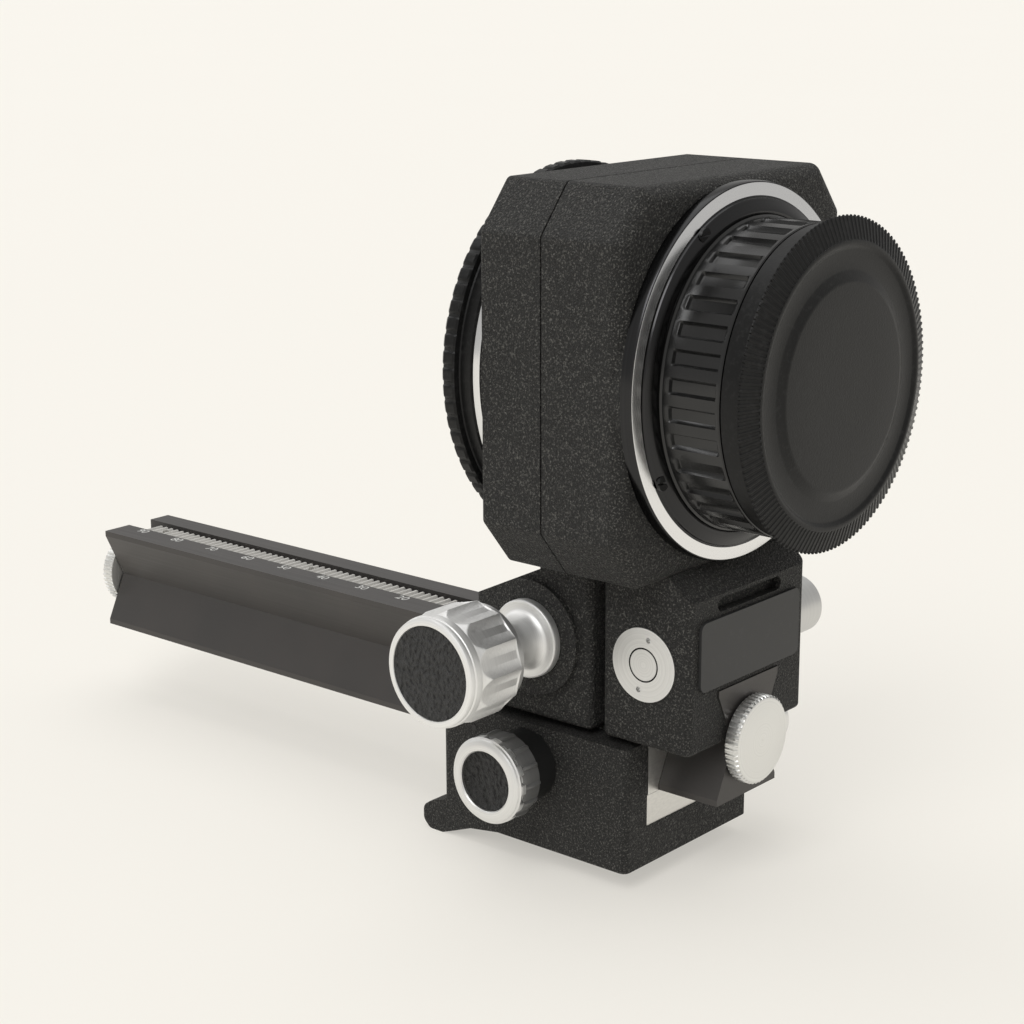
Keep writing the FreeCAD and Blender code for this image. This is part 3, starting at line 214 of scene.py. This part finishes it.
speckle.links.new(spread.outputs["Result"], outside.inputs["Mask"])

turned = bpy.data.node_groups.new("turned", "ShaderNodeTree")
turned_inputs = [("Centre", "NodeSocketVector", (0, 0, 0)),
                 ("Across", "NodeSocketVector", (1, 0, 1)),
                 ("Pitch", "NodeSocketFloat", 0.0002), ("Depth", "NodeSocketFloat", 0.00001)]
for label, kind, default in turned_inputs:
    socket = turned.interface.new_socket(label, in_out="INPUT", socket_type=kind)
    socket.default_value = default
turned.interface.new_socket("Tone", in_out="OUTPUT", socket_type="NodeSocketFloat")
turned.interface.new_socket("Reach", in_out="OUTPUT", socket_type="NodeSocketFloat")
turned.interface.new_socket("Normal", in_out="OUTPUT", socket_type="NodeSocketVector")
inside, outside = add(turned, "NodeGroupInput"), add(turned, "NodeGroupOutput")
place = add(turned, "ShaderNodeTexCoord")
away = add(turned, "ShaderNodeVectorMath", operation="SUBTRACT")
turned.links.new(place.outputs["Object"], away.inputs[0])
turned.links.new(inside.outputs["Centre"], away.inputs[1])
flat = add(turned, "ShaderNodeVectorMath", operation="MULTIPLY")
turned.links.new(away.outputs[0], flat.inputs[0])
turned.links.new(inside.outputs["Across"], flat.inputs[1])
reach = add(turned, "ShaderNodeVectorMath", operation="LENGTH")
turned.links.new(flat.outputs[0], reach.inputs[0])
along = add(turned, "ShaderNodeVectorMath", operation="SUBTRACT")
turned.links.new(away.outputs[0], along.inputs[0])
turned.links.new(flat.outputs[0], along.inputs[1])
depth_along = add(turned, "ShaderNodeVectorMath", operation="LENGTH")
turned.links.new(along.outputs[0], depth_along.inputs[0])
rings = add(turned, "ShaderNodeTexNoise", noise_dimensions="2D", Scale=1.0, Detail=2.0)
both = add(turned, "ShaderNodeCombineXYZ")
for distance, coordinate in ((reach, "X"), (depth_along, "Y")):
    in_pitches = math_node(turned, "DIVIDE", distance.outputs["Value"], inside.outputs["Pitch"])
    turned.links.new(in_pitches, both.inputs[coordinate])
turned.links.new(both.outputs[0], rings.inputs["Vector"])
bump = add(turned, "ShaderNodeBump", Height=rings.outputs["Fac"], Distance=inside.outputs["Depth"])
bump.inputs["Strength"].default_value = 0.6
turned.links.new(rings.outputs["Fac"], outside.inputs["Tone"])
turned.links.new(reach.outputs["Value"], outside.inputs["Reach"])
turned.links.new(bump.outputs["Normal"], outside.inputs["Normal"])


def use_group(tree, group, **inputs):
    """A shared effect in a material, with its inputs set."""
    made = tree.nodes.new("ShaderNodeGroup")
    made.node_tree = group
    for key, value in inputs.items():
        made.inputs[key].default_value = value
    return made


# Castings
# Tripod block and both standards: near-black wrinkle paint, rough to the touch, with fine light flecks.
casting, tree, shader = material("wrinkle_paint")
skin = use_group(tree, grain, Size=0.00034, Depth=0.0005, Strength=1.0)
flecks = use_group(tree, speckle, Ground=(0.0135, 0.0133, 0.0126, 1), Fleck=(0.145, 0.142, 0.13, 1),
                   Size=0.0003, Cover=0.19)
shader.inputs["Specular IOR Level"].default_value = 0.3
tree.links.new(skin.outputs["Normal"], shader.inputs["Normal"])
tree.links.new(flecks.outputs["Color"], shader.inputs["Base Color"])
gloss = add(tree, "ShaderNodeMapRange", Value=skin.outputs["Height"])
gloss.inputs["To Min"].default_value, gloss.inputs["To Max"].default_value = 0.82, 0.5
tree.links.new(gloss.outputs["Result"], shader.inputs["Roughness"])
paint(["base_block", "rear_standard", "front_standard"], casting)


def metal(name, colour, roughness, centre, across, pitch=0.00018, depth=0.000006, metallic=1.0,
          band=None):
    """Turned metal: fine circles around an axis, in tone, roughness and relief. A band is the middle
    radius, the half width and the grey of a ring in another tone."""
    made, tree, shader = material(name)
    lines = use_group(tree, turned, Centre=centre, Across=across, Pitch=pitch, Depth=depth)
    tree.links.new(lines.outputs["Normal"], shader.inputs["Normal"])
    tone = add(tree, "ShaderNodeMapRange", Value=lines.outputs["Tone"])
    tone.inputs["To Min"].default_value, tone.inputs["To Max"].default_value = 0.86, 1.1
    shade = add(tree, "ShaderNodeHueSaturation", Color=(*colour, 1), Value=tone.outputs["Result"])
    tree.links.new(shade.outputs["Color"], shader.inputs["Base Color"])
    if band:
        middle, half, grey = band
        inside = math_node(tree, "COMPARE", lines.outputs["Reach"], middle, half)
        mixed = add(tree, "ShaderNodeMix", data_type="RGBA")
        tree.links.new(inside, mixed.inputs["Factor"])
        tree.links.new(shade.outputs["Color"], mixed.inputs[6])
        mixed.inputs[7].default_value = (grey, grey, grey, 1)
        tree.links.new(mixed.outputs[2], shader.inputs["Base Color"])
    rough = add(tree, "ShaderNodeMapRange", Value=lines.outputs["Tone"])
    rough.inputs["To Min"].default_value = roughness * 0.75
    rough.inputs["To Max"].default_value = roughness * 1.3
    tree.links.new(rough.outputs["Result"], shader.inputs["Roughness"])
    shader.inputs["Metallic"].default_value = metallic
    return made


# Bright turned parts
# Satin aluminium knobs and stop screws, chrome rings, plain steel screws and shafts, brass pinion
# and pad. Each has its circles round its own axis, which is a point on it and the directions across.
optical = (0, 0, 0.0822)
drive = (0, 0.0029, 0.0384)
clamp = (0, 0.0029, 0.0172)
rear_lock = (0, -0.01936, 0.0384)
base_lock = (0, -0.0136, 0.0172)
stops = (0, 0, 0.0245)
round_x, round_y = (0, 1, 1), (1, 0, 1)
polished = {"pitch": 0.0004, "depth": 0.0000006}
satin_drive = metal("satin_drive", (0.86, 0.86, 0.85), 0.5, drive, round_x)
satin_clamp = metal("satin_clamp", (0.80, 0.80, 0.79), 0.42, clamp, round_x)
satin_lock = metal("satin_lock", (0.62, 0.62, 0.61), 0.40, rear_lock, round_x)
satin_base_lock = metal("satin_base_lock", (0.76, 0.76, 0.75), 0.30, base_lock, round_x)
satin_stop = metal("satin_stop", (0.78, 0.78, 0.76), 0.38, stops, round_y, pitch=0.00025)
steel = metal("steel", (0.6, 0.6, 0.6), 0.28, optical, round_y)
brass = metal("brass", (0.72, 0.53, 0.2), 0.3, drive, round_x)
bright = metal("milled", (0.74, 0.73, 0.70), 0.42, (0, 0, 0), (0, 0, 1), pitch=0.0004)
chrome = metal("chrome", (0.78, 0.78, 0.78), 0.2, optical, round_y, **polished)
# Near-black base colour: on the chrome cone this is a painted dark reflection. Only the band on the
# flat face keeps the chrome's grey.
mount_ring = metal("mount_ring", (0.04, 0.04, 0.041), 0.2, optical, round_y,
                   band=(0.0276, 0.00095, 0.8), **polished)
spanner = metal("spanner_cap", (0.70, 0.70, 0.69), 0.34, rear_lock, round_x,
                band=(0.00265, 0.00012, 0.02))
paint(["focus_knob", "focus_knob_ring"], satin_drive)
paint(["clamp_knob_ring"], satin_clamp)
paint(["rear_lock_knob", "front_shaft_cap"], satin_lock)
paint(["rear_shaft_cap", "rear_lock_shaft"], spanner)
paint(["base_lock_knob"], satin_base_lock)
paint(["near_stop_screw", "far_stop_screw"], satin_stop)
paint(["tripod_bush", "bed_screws", "clamp_screw", "base_lock_screw", "rack_screws", "retainer_screws",
       "rear_frame_screws", "front_frame_screws"], steel)
paint(["pinion_shaft", "pinion_bush"], satin_drive)
paint(["pinion", "rear_clamp_pad"], brass)
paint(["jaw_bed", "clamp_jaw", "rack"], bright)
paint(["rear_mount_ring", "front_mount_ring"], chrome)

# Dark metal parts
# Satin black anodised rings and frames, the dark clamp knob, and the gloss black ribbed ring.
black = metal("black_anodised", (0.018, 0.018, 0.018), 0.38, optical, round_y, metallic=0.3)
dark_clamp = metal("dark_clamp", (0.17, 0.17, 0.167), 0.42, clamp, round_x, metallic=0.4)
gloss_black = metal("gloss_black", (0.008, 0.008, 0.008), 0.2, optical, round_y, metallic=0.0,
                    **polished)
paint(["camera_thread", "ring_retainer", "rear_bellows_frame", "front_bellows_frame", "lens_thread",
       "base_pins", "rear_mount_screws", "front_mount_screws"], black)
paint(["clamp_knob"], dark_clamp)
paint(["clamp_collar"], black)
paint(["camera_ring"], gloss_black)

# Rail
# Dark grey anodised bar with fine drawn lines along its length, and a tone that wanders at random
# between grey and a warmer grey.
rail_finish, tree, shader = material("dark_rail")
place = add(tree, "ShaderNodeTexCoord")
stretch = add(tree, "ShaderNodeMapping", Vector=place.outputs["Object"])
stretch.inputs["Scale"].default_value = (4000, 40, 4000)
drawn = add(tree, "ShaderNodeTexNoise", Vector=stretch.outputs["Vector"], Scale=1.0, Detail=3.0)
cloud = add(tree, "ShaderNodeTexNoise", Vector=place.outputs["Object"], Scale=60.0, Detail=4.0)
tint = add(tree, "ShaderNodeMix", data_type="RGBA")
tree.links.new(cloud.outputs["Fac"], tint.inputs["Factor"])
tint.inputs[6].default_value = (0.052, 0.051, 0.050, 1)
tint.inputs[7].default_value = (0.078, 0.071, 0.067, 1)
tree.links.new(tint.outputs[2], shader.inputs["Base Color"])
rough = add(tree, "ShaderNodeMapRange", Value=drawn.outputs["Fac"])
rough.inputs["To Min"].default_value, rough.inputs["To Max"].default_value = 0.28, 0.5
tree.links.new(rough.outputs["Result"], shader.inputs["Roughness"])
bump = add(tree, "ShaderNodeBump", Height=drawn.outputs["Fac"], Distance=0.000008)
tree.links.new(bump.outputs["Normal"], shader.inputs["Normal"])
shader.inputs["Metallic"].default_value = 0.55
paint(["rail"], rail_finish)

# Black plastic caps
# Finely grained satin black, a little shinier where hands have polished it.
plastic, tree, shader = material("cap_plastic")
skin = use_group(tree, grain, Size=0.0003, Depth=0.00006, Strength=0.35)
tree.links.new(skin.outputs["Normal"], shader.inputs["Normal"])
flecks = use_group(tree, speckle, Ground=(0.0075, 0.0075, 0.0075, 1), Fleck=(0.016, 0.016, 0.016, 1),
                   Size=0.0009, Cover=0.2)
tree.links.new(flecks.outputs["Color"], shader.inputs["Base Color"])
polish = add(tree, "ShaderNodeMapRange", Value=flecks.outputs["Mask"])
polish.inputs["To Min"].default_value, polish.inputs["To Max"].default_value = 0.34, 0.44
shader.inputs["Specular IOR Level"].default_value = 0.2
tree.links.new(polish.outputs["Result"], shader.inputs["Roughness"])
paint(["rear_cap", "front_cap"], plastic)

# Blank plate
# Semi-gloss dark enamel with light handling marks.
enamel, tree, shader = material("plate_enamel")
flecks = use_group(tree, speckle, Ground=(0.030, 0.030, 0.030, 1), Fleck=(0.036, 0.036, 0.036, 1),
                   Size=0.001, Cover=0.16)
tree.links.new(flecks.outputs["Color"], shader.inputs["Base Color"])
skin = use_group(tree, grain, Size=0.0004, Depth=0.00001, Strength=0.3)
tree.links.new(skin.outputs["Normal"], shader.inputs["Normal"])
shader.inputs["Roughness"].default_value = 0.36
shader.inputs["Specular IOR Level"].default_value = 0.3
paint(["rear_plate"], enamel)

# Leatherette discs
# Black grained covering in the faces of the two left-hand knobs.
leather, tree, shader = material("leatherette")
skin = use_group(tree, grain, Size=0.0008, Depth=0.003, Strength=1.0)
tree.links.new(skin.outputs["Normal"], shader.inputs["Normal"])
# Colour from the grain's height: near-black in the hollows and lighter on the lumps, painted shade in
# the hollows and painted light on the lumps.
grain_shade = add(tree, "ShaderNodeMapRange", Value=skin.outputs["Height"])
grain_shade.inputs["From Min"].default_value, grain_shade.inputs["From Max"].default_value = 0.5, 1.0
grain_shade.inputs["To Min"].default_value, grain_shade.inputs["To Max"].default_value = 0.003, 0.04
shade = add(tree, "ShaderNodeCombineColor")
for channel in ("Red", "Green", "Blue"):
    tree.links.new(grain_shade.outputs["Result"], shade.inputs[channel])
tree.links.new(shade.outputs["Color"], shader.inputs["Base Color"])
shader.inputs["Roughness"].default_value = 0.42
paint(["focus_knob_insert", "clamp_knob_insert"], leather)

# Bellows
# Matt black coated cloth.
cloth, tree, shader = material("bellows_cloth")
skin = use_group(tree, grain, Size=0.0006, Depth=0.00008, Strength=0.6)
tree.links.new(skin.outputs["Normal"], shader.inputs["Normal"])
flecks = use_group(tree, speckle, Ground=(0.012, 0.012, 0.012, 1), Fleck=(0.03, 0.03, 0.03, 1),
                   Size=0.0008, Cover=0.15)
tree.links.new(flecks.outputs["Color"], shader.inputs["Base Color"])
shader.inputs["Roughness"].default_value = 0.8

# Focus knob
# Satin aluminium: a body with twelve hollow flutes between sharp ridges, which cut the bevel at its
# front into scallops, a narrower step at the back, and a rim that holds the leatherette disc.
def flutes(count, share=None):
    """Depth share round a knob, 1 in a flute and 0 on a ridge: hollow flutes between sharp ridges,
    or flat ones that take up a share of the round, with short slopes between."""
    def depth(angle):
        at = abs((angle * count / (2 * math.pi)) % 1 - 0.5) * 2
        return max(0.0, min(1.0, (share - at) / 0.12 + 0.5)) if share else 1 - at ** 2.6
    return depth


def lathe(name, rows, axis, through, body, finish, steps=144, depth=None, top=None):
    """A turned piece from rows of (radius, place along the axis, flute depth), in millimetres, round
    an axis through a point in metres. With top, the flutes are cut in from that radius, and the rows
    below it are only cut where the flutes reach them."""
    mm = 0.001
    mesh = bpy.data.meshes.new(name)
    shape = bmesh.new()
    rings = []
    for radius, along, cut in rows:
        ring = []
        for i in range(steps):
            angle = 2 * math.pi * i / steps
            r = radius - (cut * depth(angle) if depth else 0)
            if top:
                r = min(radius, top - cut * depth(angle))
            side, up = r * math.cos(angle) * mm, through[2] + r * math.sin(angle) * mm
            if axis == "X":
                ring.append(shape.verts.new((along * mm, through[1] + side, up)))
            else:
                ring.append(shape.verts.new((through[0] + side, along * mm, up)))
        rings.append(ring)
    for first, second in zip(rings, rings[1:] + rings[:1]):
        for i in range(steps):
            j = (i + 1) % steps
            shape.faces.new((first[i], first[j], second[j], second[i]))
    bmesh.ops.remove_doubles(shape, verts=shape.verts, dist=1e-7)
    bmesh.ops.recalc_face_normals(shape, faces=shape.faces)
    shape.to_mesh(mesh)
    shape.free()
    mesh.shade_smooth()
    mesh.set_sharp_from_angle(angle=math.radians(32))
    mesh.materials.append(finish)
    made = bpy.data.objects.new(name, mesh)
    bpy.context.scene.collection.objects.link(made)
    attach(made, body)
    return made


knob_rows = [(2.1, -37.45, 0), (8.35, -37.45, 0)]
knob_rows += [(8.4 + 0.05 * step, -37.4 + 0.13 * step, 0.62) for step in range(15)]
knob_rows += [(9.1, -35.5, 0.62), (9.1, -29.0, 0.62), (9.0, -28.75, 0.45), (8.3, -28.6, 0),
              (8.2, -28.5, 0), (8.2, -27.3, 0), (8.0, -27.05, 0), (7.8, -27.0, 0), (2.1, -27.0, 0)]
knob = lathe("knob_body", knob_rows, "X", drive, "focus_drive", satin_drive,
             288, flutes(12), top=9.1)
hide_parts("focus_knob")
rim_rows = [(0.5, -38.2, 0), (7.38, -38.2, 0), (7.38, -39.6, 0), (7.5, -39.85, 0), (7.7, -39.9, 0),
            (8.2, -39.88, 0), (8.5, -39.7, 0), (8.6, -39.4, 0), (8.6, -38.9, 0), (8.75, -38.8, 0),
            (8.8, -38.6, 0), (8.8, -37.55, 0), (0.5, -37.55, 0)]
rim = lathe("knob_rim", rim_rows, "X", drive, "focus_drive", satin_drive)
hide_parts("focus_knob_ring")

# Pinion bush
# A polished trumpet with a straight neck that flares to a flat rim against the boss on the lens
# standard's block. The focus knob's shaft runs in it.
neck_r, flare_start = 3.8, -20.9
bush_rows = [(2.06, -26.7, 0), (3.6, -26.7, 0), (3.75, -26.6, 0), (neck_r, -26.4, 0),
             (neck_r, flare_start, 0)]
for step in range(1, 13):
    a = step * math.pi / 24
    bush_rows.append((neck_r + 1.5 * (1 - math.cos(a)), flare_start + 3.0 * math.sin(a), 0))
bush_rows += [(6.0, -17.75, 0), (6.15, -17.8, 0), (6.32, -17.7, 0), (6.4, -17.5, 0),
              (6.4, -16.8, 0), (6.4, -16.45, 0), (6.3, -16.34, 0), (3.2, -16.34, 0),
              (3.2, -4.2, 0), (2.06, -4.2, 0)]
bush = lathe("pinion_trumpet", bush_rows, "X", drive, "lens_carriage", satin_drive)
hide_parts("pinion_bush")

# Clamp knob
# Dark fluted body behind a bright ring whose back edge is cut into square teeth. A leatherette disc
# fills the ring.
body_rows = [(1.55, -25.6, 0), (6.7, -25.6, 0), (6.95, -25.45, 0.2), (7.2, -24.5, 0.45),
             (7.25, -22.6, 0.45), (7.0, -21.95, 0.3), (6.7, -21.8, 0), (1.55, -21.8, 0)]
clamp_body = lathe("clamp_body", body_rows, "X", clamp, "clamp_drive", dark_clamp,
                   288, flutes(14, 0.8))
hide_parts("clamp_knob")
ring_rows = [(0.5, -26.05, 0), (4.93, -26.05, 0), (4.93, -27.3, 0), (5.1, -27.52, 0),
             (5.5, -27.6, 0), (6.3, -27.5, 0), (6.75, -27.2, 0), (6.85, -26.9, 0),
             (7.1, -26.75, 0), (7.14, -26.5, 0.1), (7.14, -26.4, 0.55), (7.14, -25.7, 0.55),
             (7.0, -25.63, 0.4), (0.5, -25.63, 0)]
clamp_rim = lathe("clamp_rim", ring_rows, "X", clamp, "clamp_drive", satin_clamp,
                  336, flutes(14, 0.45))
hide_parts("clamp_knob_ring")

# Stop screws
# A disc with a broken edge and coarse straight knurling, and the stud that holds it in the rail's
# end.
for name, end, out in (("near_stop", -28.1, -1), ("far_stop", 118.9, 1)):
    near, far = end + out * 0.3, end + out * 2.9
    stop_rows = [(0.05, near, 0), (6.5, near, 0), (6.75, near + out * 0.1, 0),
                 (7.15, near + out * 0.45, 0.32), (7.15, far - out * 0.45, 0.32),
                 (6.75, far - out * 0.1, 0), (6.5, far, 0), (0.05, far, 0)]
    disc = lathe(name + "_disc", stop_rows, "Y", stops, name, satin_stop, 384,
                 flutes(48, 0.55))
    stud_rows = [(0.05, near, 0), (1.5, near, 0), (1.5, end - out * 7.7, 0),
                 (1.2, end - out * 8.0, 0), (0.05, end - out * 8.0, 0)]
    lathe(name + "_stud", stud_rows, "Y", stops, name, satin_stop, 48)
    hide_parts(name + "_screw")

# Camera-side mount ring
# Chrome face with a black edge. The cone inside it is chrome painted near-black, a painted reflection
# of the dark surroundings it mirrors.
# Its screws are the CAD ones.
ring_rows = [(21.5, -24.46, 0), (28.85, -24.46, 0), (28.85, -25.9, 0), (28.7, -26.25, 0),
             (28.45, -26.4, 0), (26.6, -26.5, 0), (26.35, -26.62, 0), (26.25, -26.85, 0),
             (25.3, -27.35, 0), (24.5, -27.65, 0), (24.25, -27.68, 0), (24.02, -27.6, 0),
             (24.02, -25.46, 0), (21.5, -25.46, 0)]
flange = lathe("camera_flange", ring_rows, "Y", optical, "rail_unit", mount_ring,
               256)
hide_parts("rear_mount_ring")

# Ribbed ring
# Gloss black ring that turns on the standard and carries the camera's thread. Shallow pockets with
# sloping walls leave a rib between each two.
ribbed_rows = [(17.6, -21.9, 0), (20.4, -21.9, 0), (20.4, -25.7, 0), (23.9, -25.7, 0),
               (23.9, -27.75, 0), (23.75, -27.9, 0), (23.6, -28.0, 0), (23.6, -28.95, 0),
               (23.6, -29.05, 0.05), (23.6, -29.3, 0.55), (23.6, -29.6, 0.62), (23.6, -36.6, 0.62),
               (23.6, -36.9, 0.55), (23.6, -37.15, 0.05), (23.6, -37.25, 0), (23.6, -37.65, 0),
               (23.45, -37.8, 0), (19.63, -37.8, 0), (19.63, -33.8, 0), (17.6, -33.8, 0)]
ribbed = lathe("ribbed_ring", ribbed_rows, "Y", optical, "camera_coupling", gloss_black,
               720, flutes(36, 0.52))
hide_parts("camera_ring")

# Camera-side cap
# Plastic: a smooth skirt, a fine knurl on the cone round the head, a rounded rim, and a
# hollow face with a raised middle. It screws on to the camera's thread.
cap_rows = [(21.3, -37.95, 0), (23.35, -37.95, 0), (23.5, -38.1, 0), (23.5, -41.6, 0),
            (23.7, -41.75, 0), (24.8, -41.75, 0), (25.0, -41.9, 0.3), (24.95, -42.05, 0.36),
            (22.0, -43.05, 0.36), (21.6, -43.2, 0.2), (21.45, -43.3, 0), (21.1, -43.36, 0),
            (20.75, -43.34, 0), (20.5, -43.2, 0), (20.3, -43.0, 0), (20.0, -42.93, 0),
            (17.2, -42.95, 0), (16.9, -43.0, 0), (15.75, -43.5, 0), (15.5, -43.58, 0),
            (15.2, -43.6, 0), (9.0, -43.6, 0), (0.05, -43.6, 0), (0.05, -42.3, 0),
            (21.3, -42.3, 0)]
head = lathe("camera_cap", cap_rows, "Y", optical, "camera_cap", plastic, 1050,
             flutes(150, 0.5))
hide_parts("rear_cap")

# Lens-side cap
# Plastic: a wide rim with narrow notches, a skirt behind it, and a stub that enters the
# lens thread.
cap_rows = [(17.8, 0.0, 0), (20.0, 0.0, 0), (20.2, 0.2, 0), (20.2, 4.1, 0), (28.2, 4.1, 0),
            (28.45, 4.3, 0), (28.45, 6.2, 0), (28.6, 6.4, 0), (29.6, 6.42, 0), (29.9, 6.7, 0.3),
            (29.9, 8.4, 0.3), (29.6, 8.8, 0.2), (29.2, 8.9, 0), (26.6, 8.9, 0), (26.1, 8.6, 0),
            (20.6, 8.2, 0), (19.8, 7.9, 0), (19.5, 7.8, 0), (0.05, 7.8, 0), (0.05, 6.6, 0),
            (17.8, 6.6, 0)]
lid = lathe("lens_cap", cap_rows, "Y", optical, "lens_cap", plastic, 864,
            flutes(72, 0.3))
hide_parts("front_cap")

# Bellows
# One pleated tube of thin cloth with mitred corners, as long as the CAD bellows.
cloth_mesh = bpy.data.meshes.new("bellows_tube")
shape = bmesh.new()
folds = 13
inner_half, outer_half = 0.0175, 0.0229
inner_cut, outer_cut = 0.0006, 0.0022
low_y, high_y = [v[1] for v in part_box("bellows")]
loops = []
for step in range(2 * folds + 1):
    half, cut = (outer_half, outer_cut) if step % 2 else (inner_half, inner_cut)
    y = low_y + (high_y - low_y) * step / (2 * folds)
    corners = [(half, half - cut), (half - cut, half), (-half + cut, half), (-half, half - cut),
               (-half, -half + cut), (-half + cut, -half), (half - cut, -half), (half, -half + cut)]
    loops.append([shape.verts.new((x, y, optical[2] + z)) for x, z in corners])
for first, second in zip(loops, loops[1:]):
    for i in range(8):
        j = (i + 1) % 8
        shape.faces.new((first[i], first[j], second[j], second[i]))
bmesh.ops.recalc_face_normals(shape, faces=shape.faces)
shape.to_mesh(cloth_mesh)
shape.free()
cloth_mesh.materials.append(cloth)
tube = bpy.data.objects.new("bellows_tube", cloth_mesh)
bpy.context.scene.collection.objects.link(tube)
thickness = tube.modifiers.new("thickness", "SOLIDIFY")
thickness.thickness = 0.00035
thickness.offset = -1
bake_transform(tube)
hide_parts("bellows")

# Rail scale
# White-filled numerals every 10 mm along the left flange, beside the rack.
fill, tree, shader = material("scale_fill")
flecks = use_group(tree, speckle, Ground=(0.55, 0.55, 0.53, 1), Fleck=(0.22, 0.22, 0.22, 1),
                   Size=0.0003, Cover=0.16)
tree.links.new(flecks.outputs["Color"], shader.inputs["Base Color"])
shader.inputs["Roughness"].default_value = 0.7
scale_zero, line_x, rail_top = 0.023, -0.0034, 0.03401
sideways = Matrix.Rotation(math.radians(-90), 4, "Z")
for number in range(10, 100, 10):
    y = scale_zero + number / 1000
    font = bpy.data.curves.new(f"numeral_{number}", "FONT")
    font.body = str(number)
    font.size = 0.0026
    font.align_x, font.align_y = "CENTER", "CENTER"
    font.extrude = 0.00001
    font.materials.append(fill)
    numeral = bpy.data.objects.new(f"numeral_{number}", font)
    numeral.matrix_world = Matrix.Translation((line_x, y, rail_top)) @ sideways
    bpy.context.scene.collection.objects.link(numeral)
    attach(numeral, "rail_unit")

low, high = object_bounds()
